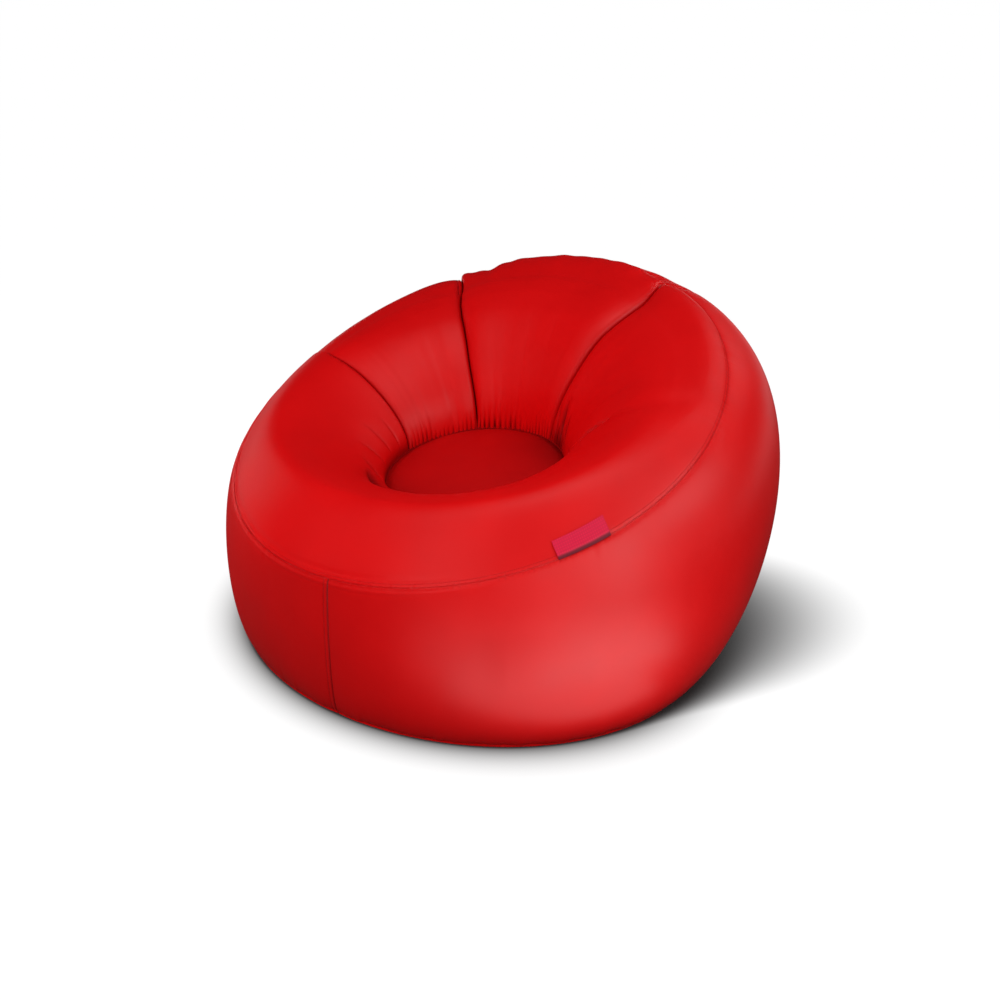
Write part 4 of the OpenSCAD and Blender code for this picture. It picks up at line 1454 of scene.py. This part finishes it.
# ---------------------------------------------------------------- air cells
@dataclass
class RingFilm:
    """The film cell that holds the ring's air, clear of the tucks and creases of the cloth."""

    inset: float = 16 * MM
    rim_inset: float = 36 * MM
    columns: int = 150
    film: float = 0.8 * MM
    floor_gap: float = 4 * MM

    def build(self, skin: Skin, wardrobe: "Wardrobe") -> None:
        """Builds the cell as a closed loop of slices round the chair."""
        form = skin.form
        a = np.linspace(180, 540, self.columns + 1)[:-1][:, None]
        wall = form.wall(a, np.linspace(0, 1, 22)[None])
        wall_out = form.outward(form.wall, a + 0 * wall[..., 0], np.linspace(0, 1, 22)[None] + 0 * wall[..., 0])
        top_rows = np.linspace(0, 2, 40)[1:]
        top = form.top(a + 0 * top_rows, top_rows[None] + 0 * a)
        top_out = form.outward(form.top, a + 0 * top_rows, top_rows[None] + 0 * a)
        under_wall = mix(self.inset, self.rim_inset, smooth(0.6, 0.92, np.linspace(0, 1, 22)))[None, :, None]
        loop = np.concatenate([wall - under_wall * wall_out, top - self.rim_inset * top_out], axis=1)
        seat = form.seat(a[:, 0])
        away = unit((seat - [0, form.seat_y, 0]) * [1, 1, 0])
        inner = [seat * [1, 1, 0] + self.inset * away + [0, 0, z] for z in (0.26, 0.14, 0.03)]
        loop = np.concatenate([loop, np.stack(inner, axis=1)], axis=1)
        low = self.floor_gap + 6 * MM
        loop[..., 2] = np.maximum(loop[..., 2], low)
        rows = loop.shape[1]
        faces = []
        for i in range(self.columns):
            j = (i + 1) % self.columns
            for k in range(rows):
                m = (k + 1) % rows
                faces.append([i * rows + k, i * rows + m, j * rows + m, j * rows + k])
        points = loop.reshape(-1, 3)
        piece = make_mesh("ring_film", points, faces, points[:, :2])
        thicken(piece, self.film)
        wardrobe.dress(piece, Finish.FILM)
        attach(piece, "shell")
        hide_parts("ring_air_cell")


@dataclass
class SeatFilm:
    """The film cell under the seat, drawn in from the seat seam."""

    inset: float = 12 * MM
    depth: float = 17 * MM
    bottom: float = 3 * MM
    columns: int = 120

    def build(self, skin: Skin, wardrobe: "Wardrobe") -> None:
        """Builds the cell as a soft drum."""
        form = skin.form
        a = np.linspace(180, 540, self.columns + 1)[:-1]
        edge = form.seat(a)
        away = unit((edge - [0, form.seat_y, 0]) * [1, 1, 0])
        middle = np.array([0, form.seat_y, 0.0])
        top = form.seat_z - self.depth
        rings = [
            middle + [0, 0, top + 0.012] + 0 * away,
            middle + (edge * [1, 1, 0] - middle) * 0.5 + [0, 0, top + 0.008],
            edge * [1, 1, 0] - (self.inset + 30 * MM) * away + [0, 0, top],
            edge * [1, 1, 0] - self.inset * away + [0, 0, top - 0.03],
            edge * [1, 1, 0] - self.inset * away + [0, 0, 0.03],
            edge * [1, 1, 0] - (self.inset + 20 * MM) * away + [0, 0, self.bottom],
            middle + [0, 0, self.bottom] + 0 * away,
        ]
        rows = len(rings) - 2
        points = np.stack(rings[1:-1], axis=1).reshape(-1, 3)
        points[:, 2] += np.where(points[:, 2] > 0.25, form.seat_rise * (points[:, 1] - form.seat_y), 0)
        every = np.concatenate([points, rings[0][:1], rings[-1][:1]])
        faces = []
        for i in range(self.columns):
            j = (i + 1) % self.columns
            faces.append([i * rows, j * rows, len(points)][::-1])
            faces.append([j * rows + rows - 1, i * rows + rows - 1, len(points) + 1][::-1])
            faces.extend([i * rows + k, i * rows + k + 1, j * rows + k + 1, j * rows + k] for k in range(rows - 1))
        piece = make_mesh("seat_film", every, faces, every[:, :2])
        thicken(piece, 0.8 * MM)
        wardrobe.dress(piece, Finish.FILM)
        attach(piece, "shell")
        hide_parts("seat_air_cell")


# ---------------------------------------------------------------- filling neck and its closure
@dataclass(frozen=True)
class LoopForm:
    """The bar that the neck is rolled on, bent to a loop that is open at the bottom."""

    centre: tuple[float, float, float] = (0.0, 0.636157, 0.140122)
    radius: float = 70 * MM
    roll: float = 17 * MM
    open_degrees: float = 58
    slot_lift: float = 1.8 * MM

    def on_roll(self, x: np.ndarray) -> np.ndarray:
        """Gives the height of the roll's upper side over the loop's centre."""
        return np.sqrt((self.radius + self.roll) ** 2 - x**2)

    def frame(self, psi: np.ndarray) -> tuple[np.ndarray, np.ndarray]:
        """Gives the bar's middle and its outward direction at an angle from the top."""
        out = np.stack([np.sin(psi), 0 * psi, np.cos(psi)], axis=-1)
        return np.array(self.centre) + self.radius * out, out


@dataclass
class NeckSleeve:
    """The gathered neck between its mouth in the wall and the roll."""

    name: str
    node: str
    finish: Finish
    inset: float
    thickness: float
    half_mouth: float = 84 * MM
    low: float = 257 * MM
    high: float = 318 * MM
    half_slot: float = 59 * MM
    half_depth: float = 4.5 * MM
    reach: float = 0.34
    fall: float = 0.45
    around: int = 168
    rows: int = 30
    pleat: float = 1.5 * MM
    pleats: int = 22
    wall_radius: float = 0.62

    def mouth(self, form: ShellForm, x: np.ndarray, z: np.ndarray) -> tuple[np.ndarray, np.ndarray]:
        """Finds where the wall has a wished x and z, with its outward direction."""
        t = np.linspace(0.3, 0.95, 300)
        a, places, out = 360.0 + np.degrees(x / self.wall_radius), [], []
        for bearing, px, height in zip(a, x, z):
            for _ in range(4):
                line = form.wall(np.full_like(t, bearing), t)
                share = np.interp(height, line[:, 2], t)
                here = form.wall(np.array([bearing]), np.array([share]))[0]
                bearing += np.degrees((px - here[0]) / self.wall_radius)
            places.append(here)
            out.append(form.outward(form.wall, np.array([bearing]), np.array([share]))[0])
        return np.array(places), np.array(out)

    def build(self, form: ShellForm, loop: LoopForm, wardrobe: "Wardrobe") -> None:
        """Builds the sleeve from its mouth in the wall to the roll."""
        turn = np.linspace(0, 2 * np.pi, self.around + 1)[:-1]
        cos, sin = np.cos(turn), np.sin(turn)
        flat_x, flat_z = np.sign(cos) * np.abs(cos) ** 0.55, np.sign(sin) * np.abs(sin) ** 0.75
        middle_z, half_z = (self.low + self.high) / 2, (self.high - self.low) / 2 - self.inset
        start, out = self.mouth(form, flat_x * (self.half_mouth - self.inset), middle_z + flat_z * half_z)
        x = flat_x * (self.half_slot - self.inset)
        depth = self.half_depth - self.inset
        over_roll = loop.on_roll(x) + loop.slot_lift - 3 * MM
        end = np.array(loop.centre) + np.stack([x, flat_z * depth, over_roll], axis=-1)
        drop = (start - end)[:, 2:]
        t = np.linspace(0, 1, self.rows)
        up = np.array([0, 0, 1.0])
        controls = [start, start + self.reach * drop * out, end + self.fall * drop * up, end]
        grid = bezier([c[:, None] for c in controls], np.broadcast_to(t, (self.around, self.rows)))
        aside = unit(grid - grid.mean(axis=0))
        wave = np.sin(turn * self.pleats + 0.8 * np.sin(3 * turn)) + 0.4 * np.sin(turn * self.pleats * 2 + 1.3)
        bulge = np.sin(np.pi * t) ** 0.7
        grid = grid + (self.pleat * wave[:, None] * bulge + 3 * MM * np.sin(np.pi * t) ** 2)[..., None] * aside
        grid[:, 0] -= 1.5 * MM * out
        rows, faces = self.rows, []
        for i in range(self.around):
            j = (i + 1) % self.around
            faces.extend([j * rows + k, j * rows + k + 1, i * rows + k + 1, i * rows + k] for k in range(rows - 1))
        uv = np.stack(np.broadcast_arrays(turn[:, None] * 0.06, t * 0.09), axis=-1).reshape(-1, 2)
        piece = make_mesh(self.name, grid.reshape(-1, 3), faces, uv)
        thicken(piece, self.thickness)
        wardrobe.dress(piece, self.finish)
        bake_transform(piece)
        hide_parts(self.node)


@dataclass
class RolledNeck:
    """The end of the neck, rolled up on its stiffener."""

    wraps: float = 4.6
    inner: float = 6.6 * MM
    around: int = 44
    stations: int = 110
    thickness: float = 1.2 * MM

    def build(self, loop: LoopForm, wardrobe: "Wardrobe") -> None:
        """Sweeps a spiral of cloth along the bent bar."""
        limit = math.radians(180 - loop.open_degrees)
        psi = np.linspace(-limit, limit, self.stations)[:, None]
        turn = np.linspace(0, 2 * np.pi * self.wraps, int(self.around * self.wraps))[None]
        psi, turn = np.broadcast_arrays(psi, turn)
        middle, out = loop.frame(psi)
        share = turn / (2 * np.pi * self.wraps)
        radius = mix(loop.roll - 0.2 * MM, self.inner, share)
        ripple = 0.35 * np.sin(psi * 17 + 2 * np.sin(turn)) + 0.25 * np.sin(psi * 31 + turn * 1.3)
        radius = radius + MM * ripple * (1 - share) - 0.35 * MM
        across = np.array([0, 1.0, 0])
        points = middle + radius[..., None] * (np.cos(turn)[..., None] * out + np.sin(turn)[..., None] * across)
        faces = strip_faces(self.stations, points.shape[1])
        uv = np.stack([psi * loop.radius, turn * 0.012], axis=-1).reshape(-1, 2)
        piece = make_mesh("rolled_neck", points.reshape(-1, 3), faces, uv)
        thicken(piece, self.thickness)
        wardrobe.dress(piece, Finish.SHELL)
        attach(piece, "closure")
        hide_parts("neck_roll")


@dataclass
class LeftStrap:
    """The doubled strap from the roll's left end round the plug's bar."""

    bar: tuple[float, float] = (-15 * MM, 0.103028)
    far: float = -76 * MM
    y: float = 0.636157
    half_width: float = 11 * MM
    lift: float = 1.05 * MM
    eye: float = 3.3 * MM
    keep: float = 0.61
    threads: int = 13

    def build(self, wardrobe: "Wardrobe") -> None:
        """Builds the strap and attaches it to the closure."""
        bar_x, bar_z = self.bar
        lead = np.linspace(self.far, bar_x - 5.5 * MM, 40)
        turn = np.radians(np.linspace(150, -150, 36))
        neck = np.linspace(0, 1, 6)[1:-1]
        first = np.array([bar_x + self.eye * math.cos(turn[0]), self.eye * math.sin(turn[0])])
        join = mix(np.array([lead[-1], self.lift]), first, neck[:, None])
        upper = np.concatenate([np.stack([lead, 0 * lead + self.lift], axis=-1), join])
        eye = np.stack([bar_x + self.eye * np.cos(turn), self.eye * np.sin(turn)], axis=-1)
        path = np.concatenate([upper, eye, upper[::-1] * [1, -1]])
        across = np.linspace(-self.half_width, self.half_width, self.threads)
        count = self.threads
        points = np.stack(
            [
                np.broadcast_to(path[:, :1], (len(path), count)),
                np.broadcast_to(self.y + path[:, 1:], (len(path), count)),
                np.broadcast_to(bar_z + across, (len(path), count)),
            ],
            axis=-1,
        )
        faces = [
            [i * count + k, i * count + k + 1, (i + 1) * count + k + 1, (i + 1) * count + k]
            for i in range(len(path) - 1)
            for k in range(count - 1)
        ]
        # The lower part reaches furthest to the left, along the slanted end of the roll
        slant = np.clip((points[..., 2] - (bar_z - self.half_width)) / (2 * self.half_width), 0, 1) * 30 * MM
        far_share = 1 - smooth(self.far, self.far + 45 * MM, points[..., 0])
        points[..., 0] += slant * far_share
        run = closed_run(path)
        uv = np.stack(np.broadcast_arrays(run[:, None], across), axis=-1).reshape(-1, 2)
        piece = make_mesh("strap_left", points.reshape(-1, 3), faces, uv)
        thicken(piece, 1.5 * MM)
        wardrobe.dress(piece, Finish.WEBBING)
        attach(piece, "closure")
        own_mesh(piece)
        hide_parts("webbing_left")


# ---------------------------------------------------------------- label
@dataclass
class Label:
    """The bare woven tape tab at the rim, sewn in along its lower edge."""

    bearings: tuple[float, float] = (128.7, 117.4)
    height: float = 38 * MM
    left_share: float = 0.90
    left_lean: float = 0.6
    columns: int = 60
    rows: int = 34
    thickness: float = 1.3 * MM
    roll: float = 10 * MM

    def build(self, skin: Skin, wardrobe: "Wardrobe") -> None:
        """Lays the tape over the cloth, with its lower edge curled in to the seam."""
        a = np.linspace(*self.bearings, self.columns)
        gaps = np.linspace(0.8 * MM, self.height, self.rows)
        share = gaps / self.height
        left = np.linspace(1, 0, self.columns)[:, None]
        bearing = a[:, None] + self.left_lean * left * share
        v = np.stack([skin.across_at(Side.TOP, a, gap) for gap in gaps], axis=1) * (1 - (1 - self.left_share) * left)
        places = skin.form.top(bearing, v)
        out = skin.form.outward(skin.form.top, bearing, v)
        lift = 1.5 * MM + 3.0 * MM * smooth(0, self.roll, gaps) - 1.2 * MM * share
        points = places + (lift[None, :] + 0 * v)[..., None] * out
        down = unit(places[:, :1] - places[:, -1:])
        curl = bell(gaps, 4 * MM)[None, :, None]
        points = points + 2.0 * MM * curl * down
        faces = strip_faces(self.columns, self.rows)
        width = 0.106
        uv = np.stack(np.broadcast_arrays(np.linspace(0, width, self.columns)[:, None], gaps), axis=-1).reshape(-1, 2)
        piece = make_mesh("label_tape", points.reshape(-1, 3), faces, uv)
        # The tape's lower edge is painted darker where it curls in to the seam: painted shade
        mark_painted_shade(piece, np.broadcast_to(1 - smooth(3.5 * MM, 8 * MM, gaps), v.shape).ravel())
        thicken(piece, self.thickness)
        wardrobe.dress(piece, Finish.LABEL)
        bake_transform(piece)
        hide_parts("label_tab")


# ---------------------------------------------------------------- studio
@dataclass(frozen=True)
class Softbox:
    """A rectangular lamp that faces the chair, or a lit card that lies on the floor."""

    name: str
    bearing: float
    elevation: float
    reach: float
    size: tuple[float, float]
    power: float
    mirrored: bool = False
    on_floor: bool = False

    def hang(self) -> None:
        """Puts the lamp in the scene."""
        data = bpy.data.lights.new(self.name, "AREA")
        data.shape = "RECTANGLE"
        data.size, data.size_y = self.size
        data.energy = self.power
        lamp = bpy.data.objects.new(self.name, data)
        a, e = math.radians(self.bearing), math.radians(self.elevation)
        away = Vector((math.sin(a) * math.cos(e), math.cos(a) * math.cos(e), math.sin(e)))
        if self.on_floor:
            lamp.location = self.reach * away + Vector((0, 0, 0.01))
            lamp.rotation_euler = (Matrix.Rotation(-a, 3, "Z") @ Matrix.Rotation(math.pi, 3, "X")).to_euler()
        else:
            lamp.location = Vector((0, 0, 0.3)) + self.reach * away
            lamp.rotation_euler = (-away).to_track_quat("-Z", "Y").to_euler()
        lamp.visible_camera = False
        lamp.visible_glossy = self.mirrored
        bpy.context.scene.collection.objects.link(lamp)


SOFTBOXES = (
    Softbox("softbox_right", 80, 27, 2.0, (0.8, 0.8), 3.8, mirrored=True),
    Softbox("softbox_right_low", 106, 13, 2.0, (0.5, 1.2), 5.0, mirrored=True),
    Softbox("softbox_front_right", 128, 15, 2.0, (0.6, 1.1), 5.5),
    Softbox("foot_card", 128, 0, 0.66, (0.6, 0.2), 0.36, mirrored=True, on_floor=True),
    Softbox("bounce_card", 114, 0, 1.05, (0.6, 0.6), 2.6, mirrored=True, on_floor=True),
    Softbox("front_card", 145, 0, 0.9, (0.6, 0.45), 0.6, mirrored=True, on_floor=True),
    Softbox("fill_top", 120, 76, 2.0, (0.8, 0.8), 6.5),
    Softbox("fill_front_top", 182, 54, 2.0, (0.8, 0.8), 3.5),
    Softbox("fill_front", 168, 23, 2.0, (0.8, 0.8), 9.2),
    Softbox("fill_right_top", 84, 62, 2.0, (0.8, 0.8), 5.0),
    Softbox("fill_left_front", 215, 25, 2.0, (0.8, 0.8), 10.8),
    Softbox("fill_left", 265, 10, 2.0, (0.6, 1.0), 12.0),
    Softbox("fill_back", 22, 31, 2.0, (0.8, 0.8), 12.0),
)


@dataclass
class Studio:
    """Camera, floor and lamps."""

    target: tuple[float, float, float] = (0.0, 0.060, 0.300)
    azimuth: float = 35.0
    elevation: float = 24.5
    distance: float = 2.49
    lens: float = 41.6
    shift: tuple[float, float] = (0.0165, -0.0163)
    floor_grey: float = 0.06
    # Half width and half depth of the chair's foot, their mean, and the gaps over which the painted shadow gives way
    # to the white glow
    foot: tuple[float, float, float] = (0.52, 0.44, 1)
    foot_mean: float = 0.48
    near: float = 0.13
    far: float = 0.45
    mirror_white: tuple[float, float] = (1.6, 8.0)
    shadow_bearing: float = 48
    room_light: float = 0.03

    def camera(self) -> None:
        """Sets the camera."""
        data = bpy.data.cameras.new("camera")
        data.lens = self.lens
        data.sensor_width = 36.0
        data.shift_x, data.shift_y = self.shift
        camera = bpy.data.objects.new("camera", data)
        az, el = math.radians(self.azimuth), math.radians(self.elevation)
        back = Vector((math.sin(az) * math.cos(el), -math.cos(az) * math.cos(el), math.sin(el)))
        camera.location = Vector(self.target) + self.distance * back
        camera.rotation_euler = (-back).to_track_quat("-Z", "Y").to_euler()
        bpy.context.scene.collection.objects.link(camera)
        bpy.context.scene.camera = camera

    def floor(self) -> None:
        """Lays a dark floor that keeps the chair's real shadow faintly and glows white to the camera away from the
        chair; near the chair the glow fades out as a painted shadow.
        """
        deselect()
        bpy.ops.mesh.primitive_plane_add(size=60, location=(0, 0, 0))
        floor = bpy.context.active_object
        floor.name = "studio_floor"
        material, tree, shader = new_material("studio_white")
        shader.inputs["Base Color"].default_value = (*[self.floor_grey] * 3, 1)
        shader.inputs["Roughness"].default_value = 1.0
        shader.inputs["Specular IOR Level"].default_value = 0.0
        path = node(tree, "ShaderNodeLightPath", {}, {})
        mirrored = node(
            tree,
            "ShaderNodeMath",
            {"operation": "MAXIMUM"},
            {0: path.outputs["Is Glossy Ray"], 1: path.outputs["Is Transmission Ray"]},
        )
        where = node(tree, "ShaderNodeTexCoord", {}, {})
        flat = node(
            tree, "ShaderNodeVectorMath", {"operation": "MULTIPLY", 1: (1, 1, 0)}, {0: where.outputs["Object"]}
        )
        oval = node(tree, "ShaderNodeVectorMath", {"operation": "DIVIDE", 1: self.foot}, {0: flat.outputs[0]})
        length = node(tree, "ShaderNodeVectorMath", {"operation": "LENGTH"}, {0: oval.outputs[0]})
        gap = node(
            tree,
            "ShaderNodeMath",
            {"operation": "MULTIPLY_ADD", 1: self.foot_mean, 2: -self.foot_mean},
            {0: length.outputs["Value"]},
        )
        # The painted shadow reaches furthest from the chair towards the shadow bearing
        heading = node(tree, "ShaderNodeVectorMath", {"operation": "NORMALIZE"}, {0: flat.outputs[0]})
        lee = math.radians(self.shadow_bearing)
        facing = node(
            tree,
            "ShaderNodeVectorMath",
            {"operation": "DOT_PRODUCT", 1: (math.sin(lee), math.cos(lee), 0)},
            {0: heading.outputs[0]},
        )
        facing = node(tree, "ShaderNodeMath", {"operation": "MAXIMUM", 1: 0.0}, {0: facing.outputs["Value"]})
        facing = node(tree, "ShaderNodeMath", {"operation": "POWER", 1: 6.0}, {0: facing.outputs[0]})
        reach = node(
            tree, "ShaderNodeMath", {"operation": "MULTIPLY_ADD", 1: self.far, 2: 0.01}, {0: facing.outputs[0]}
        )
        share = node(tree, "ShaderNodeMath", {"operation": "DIVIDE"}, {0: gap.outputs[0], 1: reach.outputs[0]})
        rise = node(
            tree,
            "ShaderNodeMapRange",
            {"From Min": 0.0, "From Max": 1.0, "To Min": 0.0, "To Max": 1.0, "interpolation_type": "SMOOTHSTEP"},
            {"Value": share.outputs[0]},
        )
        rise = node(tree, "ShaderNodeMath", {"operation": "POWER", 1: 1.5}, {0: rise.outputs["Result"]})
        # Close to the chair the glow falls off fast all round it: a painted contact shadow
        dark = node(
            tree,
            "ShaderNodeMapRange",
            {"From Min": 0.0, "From Max": self.near, "To Min": 1.0, "To Max": 0.0},
            {"Value": gap.outputs[0]},
        )
        dark = node(tree, "ShaderNodeMath", {"operation": "POWER", 1: 2.4}, {0: dark.outputs["Result"]})
        open_share = node(tree, "ShaderNodeMath", {"operation": "SUBTRACT", 0: 1.0}, {1: dark.outputs[0]})
        rise = node(
            tree, "ShaderNodeMath", {"operation": "MULTIPLY"}, {0: rise.outputs[0], 1: open_share.outputs[0]}
        )
        # Mirrored, the floor is white only well away from the chair, so that the walls keep their colour
        start, end = self.mirror_white
        beyond = node(
            tree,
            "ShaderNodeMapRange",
            {"From Min": start, "From Max": end, "To Min": 0.0, "To Max": 1.0, "interpolation_type": "SMOOTHSTEP"},
            {"Value": gap.outputs[0]},
        )
        beyond = node(
            tree, "ShaderNodeMath", {"operation": "MULTIPLY"}, {0: beyond.outputs["Result"], 1: mirrored.outputs[0]}
        )
        strength = node(
            tree,
            "ShaderNodeMath",
            {"operation": "MULTIPLY_ADD"},
            {0: rise.outputs[0], 1: path.outputs["Is Camera Ray"], 2: beyond.outputs[0]},
        )
        glow = node(tree, "ShaderNodeEmission", {"Color": (1, 1, 1, 1)}, {"Strength": strength.outputs[0]})
        total = node(tree, "ShaderNodeAddShader", {}, {0: shader.outputs[0], 1: glow.outputs[0]})
        tree.links.new(total.outputs[0], tree.nodes["Material Output"].inputs["Surface"])
        floor.data.materials.append(material)

    def world(self) -> None:
        """Fills the room with faint even light, and shows it white."""
        world = bpy.data.worlds.new("room")
        bpy.context.scene.world = world
        world.use_nodes = True
        tree = world.node_tree
        fill = tree.nodes["Background"]
        fill.inputs["Color"].default_value = (1, 1, 1, 1)
        fill.inputs["Strength"].default_value = self.room_light
        white = node(tree, "ShaderNodeBackground", {"Color": (1, 1, 1, 1), "Strength": 1.0}, {})
        path = node(tree, "ShaderNodeLightPath", {}, {})
        choice = node(
            tree,
            "ShaderNodeMixShader",
            {},
            {0: path.outputs["Is Camera Ray"], 1: fill.outputs[0], 2: white.outputs[0]},
        )
        tree.links.new(choice.outputs[0], tree.nodes["World Output"].inputs["Surface"])

    def build(self) -> None:
        """Sets up the whole studio."""
        self.camera()
        self.floor()
        self.world()
        for softbox in SOFTBOXES:
            softbox.hang()
        bpy.context.scene.view_settings.view_transform = "Standard"


def main() -> None:
    """Builds the chair sub-assembly by sub-assembly."""
    logging.basicConfig(level=logging.INFO, format="%(message)s")
    Studio().build()
    form = ShellForm()
    relief = ClothRelief(form, Runs(form))
    skin = Skin(form, relief)
    wardrobe = Wardrobe()
    ShellPanels(skin).build(wardrobe)
    Stitching(skin).build(wardrobe)
    Seat().build(skin, wardrobe)
    Base().build(skin, wardrobe)
    RingFilm().build(skin, wardrobe)
    SeatFilm().build(skin, wardrobe)
    loop = LoopForm()
    NeckSleeve("neck_sleeve", "filling_neck", Finish.SHELL, 0.0, CLOTH).build(form, loop, wardrobe)
    NeckSleeve("neck_film", "neck_liner", Finish.FILM, 2.2 * MM, 0.5 * MM).build(form, loop, wardrobe)
    RolledNeck().build(loop, wardrobe)
    LeftStrap().build(wardrobe)
    Label().build(skin, wardrobe)
    for name, finish in (
        ("seat_tether", Finish.TETHER),
        ("link_duct", Finish.FILM),
        ("roll_stiffener", Finish.STIFFENER),
        ("webbing_right", Finish.WEBBING_SEWN),
        ("buckle_socket", Finish.BUCKLE),
        ("buckle_plug", Finish.BUCKLE),
        ("latch_arm_upper", Finish.BUCKLE),
        ("latch_arm_lower", Finish.BUCKLE),
    ):
        wardrobe.finish_node(name, finish)


if __name__ == "__main__":
    main()
